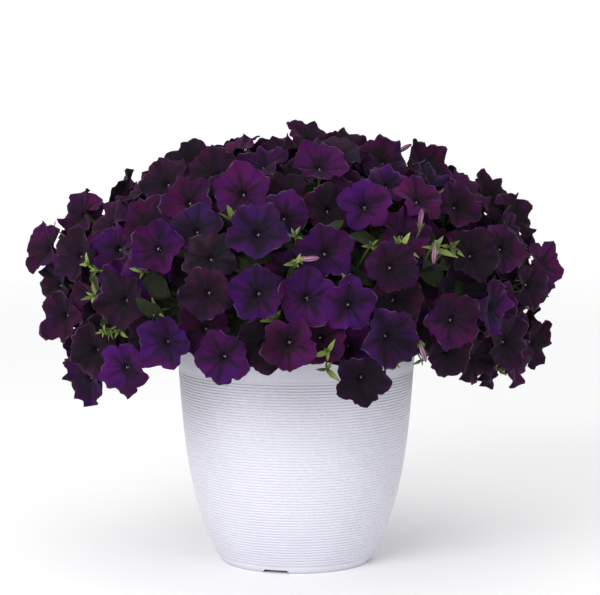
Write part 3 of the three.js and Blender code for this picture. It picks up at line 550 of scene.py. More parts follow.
def petal_material():
    """Dark velvet: nearly black round the throat, violet and plum towards the rim, greyer behind."""
    m = Nodes("petal_velvet")
    tint = m.tint()
    out, across, behind = m.form()
    bluer = m.shade(tint, 0.88, 1.0, 1.15)
    redder = m.shade(tint, 1.12, 0.97, 0.9)
    front = m.mix(m.span(m.noise(26.0, 1.0), 0.36, 0.64), redder, bluer)
    light = m.noise(17.0, 2.0, m.shifted(3.0, 1.0, 2.0))
    front = m.mix(m.span(light, 0.34, 0.66), m.shade(front, 0.65, 0.72, 0.63),
                  m.shade(front, 1.55, 1.25, 1.6))
    # the dark of the throat spreads unevenly over the lobes, and farther in a darker bloom
    spread = m.plus(out, m.times(m.noise(44.0, 3.0, m.shifted(7.0, 5.0, 1.0)), 1.2))
    spread = m.plus(spread, m.times(m.parts(tint)[0], 14.0))
    spread = m.plus(spread, m.span(m.size(across), 0.0, 0.45, -0.28, 0.0))
    dark = m.mix(0.5, m.shade(front, 0.38, 0.6, 0.36), rgb(0.009, 0.0065, 0.0095))
    front = m.mix(m.span(spread, 1.16, 1.74), dark, front)
    # veins run from the throat into each lobe and fan out
    fan = m.plus(m.times(across, 14.0), m.times(m.noise(60.0), 3.0))
    vein = m.span(m.size(m.math("SINE", fan)), 0.0, 0.4)
    vein = m.math("MAXIMUM", vein, m.span(out, 0.7, 0.98))
    front = m.mix(vein, m.shade(front, 0.8, 0.82, 0.78), front)
    # the rim is a thin grey lilac line, broken here and there: partly the paler lilac of the petal's back,
    # partly painted highlight where the rim catches the light
    edge = m.times(m.span(out, 0.94, 1.0), m.span(m.noise(42.0), 0.5, 0.66))
    front = m.mix(m.times(edge, 0.7), front, rgb(0.115, 0.075, 0.14))
    back = m.mix(0.45, m.shade(tint, 1.2, 1.7, 1.1), rgb(0.042, 0.026, 0.05))
    back = m.mix(m.span(m.noise(120.0), 0.4, 0.7), back, m.shade(back, 0.75, 0.8, 0.75))
    m.set(Base_Color=m.mix(behind, front, back), Specular_IOR_Level=0.06)
    m.set(Roughness=m.uneven(160.0, 0.6, 0.8))
    m.set(Sheen_Weight=0.08, Sheen_Roughness=0.4, Sheen_Tint=rgb(0.5, 0.25, 0.6))
    crepe = m.plus(m.times(m.noise(900.0), 0.4), m.times(vein, 0.6))
    m.bump(crepe, 0.0004)
    return m.material


def speck_material(name, scale, dark, pale, grain, **look):
    """Stigmas and anthers: specks of two shades with a fine grain."""
    m = Nodes(name)
    m.set(Base_Color=m.mix(m.span(m.noise(scale), 0.35, 0.65), dark, pale))
    m.set(**look)
    m.bump(m.noise(grain), 0.0002)
    return m.material


def bud_material():
    """Furled petals: mauve-pink, streaked along the folds."""
    m = Nodes("bud_petal")
    along, across, _ = m.form()
    streak = m.span(m.math("SINE", m.times(across, 31.4)), -0.6, 0.8)
    pale, deep = rgb(0.29, 0.14, 0.21), rgb(0.10, 0.03, 0.085)
    body = m.mix(streak, deep, pale)
    body = m.mix(m.span(along, 0.55, 1.0), body, m.shade(body, 0.62, 0.4, 0.62))
    m.set(Base_Color=body, Roughness=m.uneven(200.0, 0.5, 0.7))
    m.set(Sheen_Weight=0.15, Sheen_Tint=rgb(0.8, 0.65, 0.75))
    m.bump(m.plus(streak, m.noise(900.0)), 0.0003)
    return m.material


def leaf_material():
    """Soft hairy green, lighter along the veins and yellower towards the tip."""
    m = Nodes("foliage")
    tint = m.tint()
    along, across, edge = m.form()
    slant = m.math("SUBTRACT", m.times(along, 30.0), m.times(m.size(across), 14.0))
    vein = m.span(m.math("SINE", slant), 0.75, 1.0)
    rib = m.span(m.size(across), 0.14, 0.03)
    lines = m.math("MAXIMUM", m.times(vein, 0.5), rib)
    body = m.mix(m.uneven(60.0), m.shade(tint, 0.72, 0.8, 0.7), tint)
    body = m.mix(m.times(lines, 0.6), body, m.shade(tint, 1.6, 1.45, 1.7))
    m.set(Base_Color=body, Roughness=m.uneven(220.0, 0.5, 0.7))
    m.set(Subsurface_Weight=0.08, Subsurface_Radius=(0.001, 0.0016, 0.0006), Subsurface_Scale=1.0)
    m.set(Sheen_Weight=0.05, Sheen_Roughness=0.5, Sheen_Tint=rgb(0.85, 0.95, 0.6), Specular_IOR_Level=0.12)
    m.bump(m.math("SUBTRACT", m.noise(500.0), m.times(lines, 0.8)), 0.0004)
    return m.material


def pot_material():
    """White plastic with a cool cast and a satin face, darker in the grooves with painted shade."""
    m = Nodes("pot_plastic")
    _, _, groove_shade = m.form()
    clean = m.mix(m.span(m.noise(9.0), 0.35, 0.65), rgb(0.585, 0.58, 0.66), rgb(0.615, 0.61, 0.69))
    # painted shade: the grooves between the ribs are darkened towards a deeper tone of the same cool white
    body = m.mix(m.times(groove_shade, 0.5), clean, rgb(0.43, 0.425, 0.49))
    m.set(Base_Color=body, Roughness=m.uneven(70.0, 0.36, 0.46), Specular_IOR_Level=0.45)
    m.set(Subsurface_Weight=0.1, Subsurface_Radius=(0.002, 0.002, 0.0024), Subsurface_Scale=1.0)
    m.bump(m.noise(1200.0), 0.00008)
    return m.material


def soil_material():
    m = Nodes("potting_soil")
    grain = m.put("ShaderNodeTexVoronoi", {"Vector": m.place(), "Scale": 260.0}).outputs["Distance"]
    body = m.mix(m.span(m.noise(90.0, 6.0), 0.3, 0.7), rgb(0.016, 0.010, 0.007), rgb(0.055, 0.036, 0.024))
    body = m.mix(m.span(m.noise(330.0), 0.68, 0.74), body, rgb(0.2, 0.15, 0.1))
    m.set(Base_Color=body, Roughness=m.span(grain, 0.1, 0.6, 0.8, 0.98))
    m.bump(m.plus(grain, m.noise(700.0)), 0.002)
    return m.material


PETAL = petal_material()
STIGMA = speck_material("stigma", 700.0, rgb(0.16, 0.135, 0.13), rgb(0.27, 0.24, 0.24), 1500.0,
                        Roughness=0.5, Subsurface_Weight=0.1)
ANTHER = speck_material("anther", 900.0, rgb(0.05, 0.035, 0.04), rgb(0.12, 0.1, 0.09), 2000.0, Roughness=0.8)
BUD = bud_material()
STIGMA_SLOT, BUD_SLOT, ANTHER_SLOT = 1, 2, 3
LEAF, POT, SOIL = leaf_material(), pot_material(), soil_material()

# ---- blooms

AROUND = 50
RING_SHARES = np.array([0.17, 0.25, 0.35, 0.47, 0.59, 0.7, 0.8, 0.88, 0.95, 1.0])
BACK_SHARES = np.array([0.985, 0.9, 0.78, 0.62, 0.46, 0.32])
TUBE_LENGTH = 27.0
# Rings of the tube: share of its length, radius, and how far out the petal's colour is read.
TUBE_INSIDE = [(0.62, 2.2, 0.0), (0.25, 3.6, 0.02)]
TUBE_OUTSIDE = [(0.1, 5.9, 0.2), (0.4, 4.4, 0.15), (0.75, 3.1, 0.1), (1.0, 2.4, 0.05)]
THROAT_RADIUS = 4.6
ROUTE_STEPS = 40
LOBE_CURLS = 2.0, 5.0, 8.0, -3.0  # tried where a lobe's own curl would reach through another bloom
STALK_REACHES = 12, 18, 25, 33, 6  # how far behind the throat a stalk may bend


def corolla_character():
    """What makes one bloom differ from the next. Now and then a lobe rolls forward."""
    curl = rng.uniform(-4.5, 6.5, 5) - np.where(rng.uniform(size=5) < 0.24, rng.uniform(5, 9, 5), 0)
    return {
        "notch": rng.uniform(0.05, 0.2),
        "point": rng.uniform(0.02, 0.11),
        "fold": rng.uniform(0.8, 5.0),
        "recurve": rng.uniform(0.0, 5.0),
        "cup": rng.uniform(-2.5, 4.0),
        "phases": rng.uniform(0, TURN, 10),
        "ruffle": rng.uniform(1.1, 3.3),
        "lobes": rng.uniform(-0.08, 0.06, 5),
        "curl": curl,
        "frill": rng.uniform(0.8, 2.4),
    }


def outline(a, c):
    """The limb's radius in each direction, as a share of the bloom's radius."""
    whole = np.round(a / (TURN / 5))
    lobe = whole.astype(int) % 5
    u = (a - whole * (TURN / 5)) / (TURN / 10)
    p = c["phases"]
    r = 1 - c["notch"] * np.abs(u) ** 1.9 + c["point"] * np.exp(-((u / 0.3) ** 2))
    r -= 0.045 * np.exp(-(((np.abs(u) - 1) / 0.1) ** 2))
    frill = 0.013 * np.sin(13 * a + p[0]) + 0.011 * np.sin(19 * a + p[1]) + 0.007 * np.sin(24 * a + p[5])
    r += c["frill"] * frill
    return r + c["lobes"][lobe] * (1 - u * u), u, lobe


def limb_height(s, a, u, lobe, c):
    """How far the limb stands in front of the flat rim, from its dish, folds, curled lobes and ruffles."""
    p = c["phases"]
    h = -BLOOM_DISH * (1 - s) ** DISH_POWER
    h = h - c["fold"] * s * s * (1 - 2 * np.abs(u)) * 0.8
    tip = np.clip((s - 0.55) / 0.45, 0, 1) ** 2
    h = h - (c["recurve"] + c["curl"][lobe]) * tip * (1 - u * u)
    wave = 1.1 * np.sin(5 * a + p[2]) + 1.1 * np.sin(8 * a + p[3]) + 0.8 * np.sin(13 * a + p[4])
    h = h + c["ruffle"] * wave * s ** 3
    h = h - 1.3 * np.exp(-((u / 0.12) ** 2)) * np.sin(math.pi * s)
    pleat = np.exp(-(((np.abs(u) - 1) / 0.1) ** 2))
    h = h - 2.0 * pleat * np.sin(math.pi * np.clip(s, 0, 1) ** 0.8)
    return h + c["cup"] * s * s


def limb_point(bloom, s, a, c, lift=0.0):
    """Points of the limb in the directions a, at the share s of the way out and lifted off its face."""
    edge, u, lobe = outline(a, c)
    flat = circle(a, bloom["first"], np.cross(bloom["facing"], bloom["first"]))
    reach = bloom["radius"] * s * (1 + (edge - 1) * smooth(0.12, 0.6, s))
    high = limb_height(s, a, u, lobe, c) + lift
    return bloom["middle"] + flat * reach[:, None] + bloom["facing"] * high[:, None]


def clear_lobes(bloom, c):
    """Curls each lobe less, or back, where it would reach through the limb of another bloom."""
    for lobe in range(5):
        a = TURN * (lobe + np.array([-0.3, 0.0, 0.3])) / 5
        drawn = c["curl"][lobe]
        for curl in (drawn, drawn * 0.4, *LOBE_CURLS):
            c["curl"][lobe] = curl
            ribs = np.array([limb_point(bloom, s, a, c) for s in (0.5, 0.68, 0.84, 1.0)])
            if not sum(pierced(ribs[:, k], bloom["index"]) for k in range(3)):
                break
        else:
            c["curl"][lobe] = drawn * 0.4


def stalk_bend(bloom, throat, knot):
    """The point behind the throat that a stalk bends at, where it passes through the fewest other blooms."""
    bends = [throat - reach * bloom["facing"] for reach in STALK_REACHES]
    share = np.linspace(0.1, 0.98, 18)
    return min(bends, key=lambda bend: pierced(bezier([throat, bend, knot], share), bloom["index"]))


def add_bloom(petals, bloom, stalks):
    """A corolla with its tube, stigma, anthers and calyx, on a stalk that leads to its spray's knot."""
    facing, e1 = bloom["facing"], bloom["first"]
    e2 = np.cross(facing, e1)
    knot = bloom["group"]["knot"]
    c = corolla_character()
    clear_lobes(bloom, c)
    a = TURN * np.arange(AROUND) / AROUND
    u = outline(a, c)[1]
    flat = circle(a, e1, e2)
    throat = bloom["middle"] - BLOOM_DISH * facing
    route = [throat, stalk_bend(bloom, throat, knot), knot]
    share = TUBE_LENGTH / np.linalg.norm(knot - throat)
    ways = tangents(bezier(route, np.linspace(0, 1, ROUTE_STEPS)))

    def tube_ring(t, r):
        way = ways[min(int(t * (ROUTE_STEPS - 1)), ROUTE_STEPS - 1)]
        x = unit(e1 - np.dot(e1, way) * way)
        y = np.cross(x, way)
        y = y if np.dot(y, e2) > 0 else -y
        return bezier(route, [t])[0] + r * circle(a, x, y)

    rows = [(tube_ring(t * share, r), s, 0.0) for t, r, s in TUBE_INSIDE]
    rows.append((throat + flat * THROAT_RADIUS - facing, 0.06, 0.0))
    rows += [(limb_point(bloom, s, a, c), s, 0.0) for s in RING_SHARES]
    rows += [(limb_point(bloom, s, a, c, -BLOOM_THICK), s, 1.0) for s in BACK_SHARES]
    rows += [(tube_ring(t * share, r), s, 1.0) for t, r, s in TUBE_OUTSIDE]
    forms = [np.column_stack([np.full(AROUND, s), u, np.full(AROUND, back)]) for _, s, back in rows]
    tint = np.array(TINTS[bloom["tint"]]) * rng.uniform(0.75, 1.25) * rng.uniform(0.92, 1.08, 3)
    add_skin(petals, [ring for ring, _, _ in rows], bezier(route, [0.66 * share, 1.02 * share]), tint=tint,
             form=np.concatenate([*forms, [[0, 0, 0], [0.05, 0, 1]]]))

    # one pale stigma stands in the throat, with dark anthers round it
    mouth = throat + facing * rng.uniform(-2.4, 0.9) + flat[0] * rng.uniform(-1.2, 1.2)
    add_ball(petals, mouth, rng.uniform(0.8, 1.2), 8, 5, slot=STIGMA_SLOT)
    for k in range(4):
        turn = TURN * (k + rng.uniform(-0.3, 0.3)) / 4
        side = math.cos(turn) * e1 + math.sin(turn) * e2
        add_ball(petals, mouth + side * 2.0 - facing * rng.uniform(1.6, 2.8), 0.75, 6, 3, slot=ANTHER_SLOT)
    style = [mouth, throat - facing * 6, bezier(route, [0.6 * share])[0]]
    add_tube(petals, style, [0.45, 0.4, 0.4], 5, slot=STIGMA_SLOT)

    green = leaf_green(rng.uniform(0.2, 0.9))
    stalk = bezier(route, np.linspace(0.86 * share, 1, 9))
    add_stem(stalks, stalk, [2.9, 2.2] + [1.15] * 7, 7, green)
    add_calyx(stalks, stalk[1], -unit(stalk[1] - stalk[0]), 2.3, rng.uniform(12, 16), green)


# How far out and how far off its face a limb counts as in the way, and how wide and how long a tube does.
LIMB_SHARE, LIMB_BAND, TUBE_ROOM, TUBE_SPAN = 1.02, 30.0, 5.5, 16.0


def pierced(path, own=None):
    """How often a path passes through the limb or the tube of a bloom, other than its own."""
    offset = np.asarray(path)[:, None] - MIDDLES
    high = np.sum(offset * FACINGS, axis=2)
    share = np.sqrt(np.maximum(np.sum(offset ** 2, axis=2) - high ** 2, 0)) / RADII
    over = high + BLOOM_DISH * np.maximum(1 - share, 0) ** DISH_POWER > 0
    near = (share < LIMB_SHARE) & (np.abs(high + 5) < LIMB_BAND)
    tube = (share * RADII < TUBE_ROOM) & (high < -BLOOM_DISH) & (high > -BLOOM_DISH - TUBE_SPAN)
    if own is not None:
        near[:, own] = tube[:, own] = False
    return int(np.sum((over[1:] != over[:-1]) & near[1:] & near[:-1]) + np.sum(tube))


def leaf_green(young):
    """From an old leaf's green to a young tip's yellow green."""
    old, fresh = np.array([0.017, 0.028, 0.009]), np.array([0.19, 0.25, 0.07])
    return old + (fresh - old) * young


def add_calyx(body, base, way, radius, length, green):
    """Five narrow sepals round the foot of a tube, spreading a little."""
    x, y = square_to(way)
    turn = rng.uniform(0, TURN)
    for k in range(5):
        a = turn + TURN * k / 5
        side = math.cos(a) * x + math.sin(a) * y
        spread = rng.uniform(0.18, 0.5)
        foot = base + side * radius * 0.7
        tip = base + side * (radius + length * spread) + way * length * (1 - spread * 0.3)
        if pierced([foot, 0.6 * foot + 0.4 * tip, tip]):
            continue
        add_blade(body, foot, tip, side, rng.uniform(2.6, 3.6), 0.5, green, rows=5, columns=3, droop=-0.06)


def add_blade(body, foot, tip, up, width, thick, green, rows=10, columns=7, fold=0.12, droop=0.1, wave=0.0,
              round_end=0.78, twist=0.0):
    """A leaf blade from foot to tip, closed, folded on its midrib and arched."""
    way = unit(tip - foot)
    length = np.linalg.norm(tip - foot)
    side = unit(np.cross(way, up))
    up = np.cross(side, way)
    t = np.linspace(0, 1, rows)
    v = np.linspace(-1, 1, columns)
    T, V = np.meshgrid(t, v, indexing="ij")
    half = width / 2 * np.sin(math.pi * np.clip(T, 0.012, 0.985) ** round_end) ** 0.8
    phase = rng.uniform(0, TURN)
    lift = fold * width * np.abs(V) * np.sin(math.pi * np.clip(T, 0, 1)) ** 0.5
    lift = lift - droop * length * (2 * T - 1) ** 2 + droop * length
    lift = lift + wave * width * V * V * np.sin(TURN * 2.3 * T + phase + 1.3 * V)
    lift = lift + twist * width * V * (T - 0.4)
    top = foot + (T * length)[..., None] * way + (half * V)[..., None] * side + lift[..., None] * up
    low = top - (thick * np.maximum(np.sin(math.pi * np.clip(T, 0.05, 0.95)), 0.3))[..., None] * up
    form = np.stack([T, V, np.zeros_like(T)], -1).reshape(-1, 3)
    n = rows * columns
    i = np.arange(rows - 1)
    j = np.arange(columns - 1)
    here, next_row = i * columns, (i + 1) * columns
    left = np.stack([here, next_row, next_row + n, here + n], -1)
    right = np.stack([here, here + n, next_row + n, next_row], -1) + columns - 1
    first = np.stack([j, j + n, j + 1 + n, j + 1], -1)
    last = np.stack([j, j + 1, j + 1 + n, j + n], -1) + (rows - 1) * columns
    quads = np.concatenate([grid_quads(rows, columns, flip=True), grid_quads(rows, columns, start=n),
                            left[:, ::-1], right[:, ::-1], first[:, ::-1], last[:, ::-1]])
    fresh = green * (1 + 0.35 * form[:, :1] * np.array([1.0, 0.8, 0.6]))
    body.add(np.concatenate([top.reshape(-1, 3), low.reshape(-1, 3)]), quads,
             tint=np.concatenate([fresh, fresh * 1.15]), form=np.concatenate([form, form]))


def add_bud(petals, stalks, tip, way, knot, length=BUD_LENGTH, belly=BUD_RADIUS):
    """A furled bud: a slim spindle with twisted ridges, on a calyx and a stalk."""
    x, y = square_to(way)
    sides, levels = 20, 16
    t = np.linspace(0, 1, levels)
    a = TURN * np.arange(sides) / sides
    profile = belly * (0.42 + 0.58 * np.sin(math.pi * np.clip(t, 0, 1) ** 1.35)) * (1 - smooth(0.9, 1.06, t))
    profile = np.maximum(profile, 0.25)
    T, A = np.meshgrid(t, a, indexing="ij")
    ridge = 1 + 0.16 * np.cos(5 * A + 4.2 * T) * smooth(0.2, 0.6, T)
    r = profile[:, None] * ridge
    base = tip - way * length
    points = base + (T * length)[..., None] * way + r[..., None] * circle(A, x, y)
    form = np.stack([T, A / TURN, np.zeros_like(T)], -1).reshape(-1, 3)
    form = np.concatenate([form, [[0, 0, 0], [1, 0, 0]]])
    add_skin(petals, points, [base, tip], form=form, slot=BUD_SLOT)
    green = leaf_green(rng.uniform(0.4, 0.9))
    add_calyx(stalks, base + way * 1.0, way, belly * 0.45, 11, green)
    path = bezier([base + way * 3, base - way * 14, knot], np.linspace(0, 1, 9))
    add_stem(stalks, path, np.full(9, 1.1), 6, green)


# ---- leaves and tips


def add_leaf(body, leaf, path):
    """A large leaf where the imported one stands, on a stalk from its stem."""
    # painted shade: the leaf's green and its stalk's are darkened to a fifth to two fifths, for the shade
    # among the blooms
    green = leaf_green(rng.uniform(0.0, 0.2)) * rng.uniform(0.2, 0.42)
    add_blade(body, leaf["foot"], leaf["tip"], leaf["up"], leaf["width"], 0.6, green, rows=13, columns=9,
              fold=0.14, droop=0.05, wave=0.05, twist=rng.uniform(-0.1, 0.1))
    way = unit(leaf["tip"] - leaf["foot"])
    stalk = np.array([leaf["foot"] + way * 3 - leaf["up"] * 0.6, leaf["foot"], leaf["fork"],
                      nearest(path, leaf["fork"])])
    add_stem(body, stalk, [0.9, 1.0, 1.4, 1.4], 6, green)


def add_tip(body, place, out, size, knot):
    """The tip of a young shoot: narrow leaves in a loose tuft on a slender stem."""
    green = leaf_green(rng.uniform(0.5, 1.1))
    foot = place - out * size * 0.45
    stem = bezier([foot + out * 1.5, foot - out * 22, knot], np.linspace(0, 1, 8))
    add_stem(body, stem, np.linspace(0.9, 1.4, 8), 6, green)
    x, y = square_to(out)
    count = rng.randint(5, 8)
    for k in range(count):
        a = TURN * k * 0.382 + rng.uniform(-0.3, 0.3)
        side = math.cos(a) * x + math.sin(a) * y
        outer = k / (count - 1)
        lean = 0.35 + 0.85 * outer
        length = size * (0.42 + 0.4 * outer) * rng.uniform(0.8, 1.15)
        way = unit(out * math.cos(lean) + side * math.sin(lean))
        start = foot - out * 3 * outer
        if pierced([start, start + way * length * 0.6, start + way * length]):
            continue
        add_blade(body, start, start + way * length, unit(out - np.dot(out, way) * way + 1e-6 * y),
                  length * rng.uniform(0.2, 0.32), 0.5, green * rng.uniform(0.45, 1.15), rows=7, columns=5,
                  fold=0.2, droop=rng.uniform(0.02, 0.12), wave=0.03)


def clear_of_blooms(p):
    """How far a point stands from the nearest bloom's limb; below 0 within a petal's reach."""
    offset = MIDDLES - p
    w = np.abs(np.sum(offset * FACINGS, axis=1) + 4)
    s = np.linalg.norm(offset, axis=1)
    return float(np.min(np.maximum(s - RADII, w)))


def pot_radius(z):
    pulls = np.array([[POT_FOOT, 0], POT_PULLS[0], POT_PULLS[1], [POT_RIM, POT_HEIGHT]])
    t = np.linspace(0, 1, 400)[:, None]
    a, b, c, d = pulls
    curve = (1 - t) ** 3 * a + 3 * t * (1 - t) ** 2 * b + 3 * t * t * (1 - t) * c + t ** 3 * d
    return np.interp(z, curve[:, 1], curve[:, 0])


def near_group(p):
    return groups[np.argmin(far(KNOTS, p))]


def inner_leaves(bodies, count, least, most):
    """Larger leaves under the blooms, darkened with painted shade, so that the mound is full of leaves all
    through.
    """
    golden = math.pi * (3 - math.sqrt(5))
    for i in range(count):
        sine = 1 - 1.4 * (i + 0.5) / count
        latitude = math.asin(sine)
        p = on_mound(i * golden, latitude)
        out = mound_normal(p)
        p = p - out * rng.uniform(least, most) + rng.normal(size=3) * 6
        if p[2] < skirt_at(p) + 34:
            continue
        group = near_group(p)
        x, y = square_to(out)
        for _ in range(8):
            a = rng.uniform(0, TURN)
            flat = math.cos(a) * x + math.sin(a) * y
            way = unit(flat + out * rng.uniform(-0.1, 0.5) - UP * 0.15)
            length = rng.uniform(42, 66)
            up = unit(out + rng.normal(size=3) * 0.28)
            side = unit(np.cross(way, up)) * length * 0.24
            ends = way * length * 0.5
            foot = p - ends
            fork = nearest(group["path"], foot)
            stalk = bezier([foot + way * 3 - up * 0.5, foot - way * 12, fork], np.linspace(0, 1, 6))
            if not pierced([foot, p - side, p + ends, p + side, foot]) + pierced(stalk):
                break
        else:
            continue
        # painted shade: these leaves and their stalks are darkened much further, for the deep shade inside
        # the mound
        green = leaf_green(rng.uniform(0.0, 0.12)) * rng.uniform(0.12, 0.32)
        add_blade(bodies[group["number"]], foot, p + ends, up, length * rng.uniform(0.5, 0.62), 0.6,
                  green, rows=9, columns=7, fold=0.12, droop=0.08, wave=0.06)
        add_stem(bodies[group["number"]], stalk, np.full(6, 1.2), 5, green)


def free_place(x, z, reach, points=None):
    """The place near a listed one that blooms leave most room at, and the way from it to the eye."""
    best = None
    for _ in range(90):
        dx, dz = rng.uniform(-reach, reach, 2)
        p = seen_on_mound(x + dx, z + dz)
        toward = unit(EYE - p)
        for lift in (-14, -6, 2, 9):
            q = p + toward * lift
            way = unit(mound_normal(p) + 0.5 * toward) if points is None else unit(points + 0.45 * toward)
            stem = bezier([q - way * 15, q - way * 32, near_group(q)["knot"]], np.linspace(0, 0.95, 20))
            stem = np.concatenate([q + way * np.array([[14], [7], [0], [-7]]), stem])
            score = min(clear_of_blooms(q), 9) - 0.25 * math.hypot(dx, dz) - 0.15 * abs(lift - 2)
            score -= 9 * pierced(stem)
            if best is None or score > best[0]:
                best = (score, q, toward)
    return best[1], best[2]


# ---- the plant's pieces

foliage = {g["number"]: Body() for g in groups}
for group in groups:
    petals, stalks = Body(), Body()
    group["petals"], group["stalks"] = petals, stalks
    for bloom in group["blooms"]:
        add_bloom(petals, bloom, stalks)
    for bud in group["buds"]:
        add_bud(petals, stalks, bud["tip"], bud["way"], group["knot"])
    add_ball(stalks, group["knot"], KNOT_RADIUS * 0.9, 12, 8, tint=leaf_green(0.2), form=(0.4, 0.6, 0))

    shoot = foliage[group["number"]]
    path = group["path"]
    coarse = path[np.r_[0:len(path) - 1:4, len(path) - 1]]
    add_stem(shoot, coarse, np.linspace(2.7, 2.0, len(coarse)), 9, leaf_green(0.2))
    for leaf in group["leaves"]:
        add_leaf(shoot, leaf, path)

for count, least, most in INNER_LEAVES:
    inner_leaves(foliage, count, least, most)

for x, z, size in FRONT_TIPS:
    place, toward = free_place(x, z, TIP_SEARCH)
    group = near_group(place)
    out = unit(mound_normal(place) + 0.5 * toward + rng.normal(size=3) * 0.2)
    add_tip(foliage[group["number"]], place, out, size, group["knot"])

for x, z, right, up in FRONT_BUDS:
    points = np.array([right, 0, up])
    place, toward = free_place(x, z, BUD_SEARCH, points)
    group = near_group(place)
    way = unit(points + 0.45 * toward)
    add_bud(group["petals"], group["stalks"], place + way * 12, way, group["knot"], FRONT_BUD_LENGTH,
            FRONT_BUD_RADIUS)


def other_tips(count):
    """Tips all round the mound where blooms leave room."""
    placed = 0
    for _ in range(count * 30):
        if placed == count:
            break
        p = on_mound(rng.uniform(0, TURN), math.asin(rng.uniform(-0.55, 1)))
        if p[2] < skirt_at(p) + 12 or (p[1] < -60 and rng.uniform() < 0.85):
            continue
        out = mound_normal(p)
        p = p + out * rng.uniform(-12, 2)
        group = near_group(p)
        stem = bezier([p + out * 4, p - out * 30, group["knot"]], np.linspace(0, 0.95, 16))
        if clear_of_blooms(p) < 5 or pierced(stem):
            continue
        out = unit(out + rng.normal(size=3) * 0.25)
        add_tip(foliage[group["number"]], p, out, rng.uniform(12, 24), group["knot"])
        placed += 1


other_tips(OTHER_TIPS)

for group in groups:
    number = group["number"]
    group["petals"].make(f"petals_{number}", [PETAL, STIGMA, BUD, ANTHER], "petals", [f"spray_{number}"])
    group["stalks"].make(f"stalks_{number}", [LEAF], "foliage", [f"spray_{number}"])
    foliage[number].make(f"foliage_{number}", [LEAF], "foliage", [f"shoot_{number}"])

# ---- pot and soil

POT_SIDES, DRAIN_SIDES, SOIL_SIDES = 144, 24, 110
RIB_FORM = [(0.0, 1.0), (0.2, 0.45), (0.5, 0.0), (0.8, 0.45)]  # shares of a rib's pitch and of its depth


def pot_profile():
    """The wall's outline from the middle of the underside, up the ribbed outside and down the inside."""
    ribs = []
    count = int((RIB_HIGH - RIB_LOW) / RIB_PITCH)
    for i in range(count):
        for part, depth in RIB_FORM:
            z = RIB_LOW + (i + part) * RIB_PITCH
            ribs.append((pot_radius(z) - depth * RIB_DEPTH, z, depth))
    levels = np.linspace(POT_HEIGHT - 3, FOOT_RECESS + FLOOR + 3, 14)
    inner = [(pot_radius(z) - POT_WALL, z, 0.0) for z in levels]
    foot = POT_FOOT - FOOT_WIDTH
    return [
        (foot - 0.8, FOOT_RECESS, 0), (foot, FOOT_RECESS - 0.8, 0), (foot + 0.6, 0.6, 0), (foot + 1.4, 0, 0),
        (POT_FOOT - 2.2, 0, 0), (POT_FOOT - 0.9, 0.35, 0), (pot_radius(1.5), 1.5, 0), (pot_radius(5), 5, 0),
        (pot_radius(8.2), 8.2, 0), *ribs, (pot_radius(RIB_HIGH + 0.8), RIB_HIGH + 0.8, 0),
        (pot_radius(260), 260, 0), (pot_radius(270), 270, 0), (pot_radius(276) + 0.3, 276, 0),
        (POT_RIM + 0.3, 278, 0), (POT_RIM - 0.4, 279.6, 0), (POT_RIM - 1.6, POT_HEIGHT, 0),
        (POT_RIM - 2.8, 279.4, 0), *inner, (inner[-1][0] - 3, FOOT_RECESS + FLOOR, 0),
    ]


def pot_ring(a, radius, z):
    return np.column_stack([np.sin(a) * radius, -np.cos(a) * radius, np.broadcast_to(z, a.shape)])


def add_cutter(points, faces, shape, azimuth):
    """A closed prism between the two halves of its corners, turned about the pot's axis."""
    n, start = len(shape) // 2, len(points)
    cos, sin = math.cos(azimuth), math.sin(azimuth)
    points += [((x * cos - y * sin) * METRES, (x * sin + y * cos) * METRES, z * METRES) for x, y, z in shape]
    sides = [range(n)[::-1], range(n, 2 * n)] + [[k, (k + 1) % n, (k + 1) % n + n, k + n] for k in range(n)]
    faces += [[k + start for k in side] for side in sides]


def make_pot():
    """The ribbed wall, from which the notches of the foot and the drain holes are cut."""
    profile = pot_profile()
    a = TURN * np.arange(POT_SIDES) / POT_SIDES
    rows = [pot_ring(a, r, z) for r, z, _ in profile]
    form = np.repeat([[0, 0, g] for _, _, g in profile], POT_SIDES, axis=0)
    body = Body()
    add_skin(body, rows, [[0, 0, FOOT_RECESS], [0, 0, FOOT_RECESS + FLOOR]],
             form=np.concatenate([form, np.zeros((2, 3))]))
    pot = body.make("pot_shell", [POT], "pot", ["pot"])
    base, top = NOTCH_BASE / 2, NOTCH_TOP / 2
    section = [(-base, -2), (base, -2), (base, 0), (top, NOTCH_HEIGHT), (-top, NOTCH_HEIGHT), (-base, 0)]
    notch = [(x, -y, z) for y in (POT_FOOT - FOOT_WIDTH - 8, POT_FOOT + 9) for x, z in section]
    turns = [TURN * k / DRAIN_SIDES for k in range(DRAIN_SIDES)]
    drain = [(DRAIN_RADIUS * math.cos(t), DRAIN_RADIUS * math.sin(t) - DRAIN_CIRCLE, z)
             for z in (FOOT_RECESS - 3, FOOT_RECESS + FLOOR + 3) for t in turns]
    points, faces = [], []
    for i in range(4):
        azimuth = math.radians(NOTCH_FIRST + 90 * i)
        add_cutter(points, faces, notch, azimuth)
        add_cutter(points, faces, drain, azimuth + math.radians(45))
    mesh = bpy.data.meshes.new("cutters")
    mesh.from_pydata(points, [], faces)
    mesh.validate()
    cutter = put_in_scene("cutters", mesh)
    cut = pot.modifiers.new("notches", "BOOLEAN")
    cut.operation, cut.solver, cut.object = "DIFFERENCE", "EXACT", cutter
    bpy.context.view_layer.update()
    cut_mesh = bpy.data.meshes.new_from_object(pot.evaluated_get(bpy.context.evaluated_depsgraph_get()))
    pot.modifiers.clear()
    pot.data = cut_mesh
    bpy.data.objects.remove(cutter)
    for polygon in pot.data.polygons:
        polygon.use_smooth = True
    pot.data.set_sharp_from_angle(angle=math.radians(50))


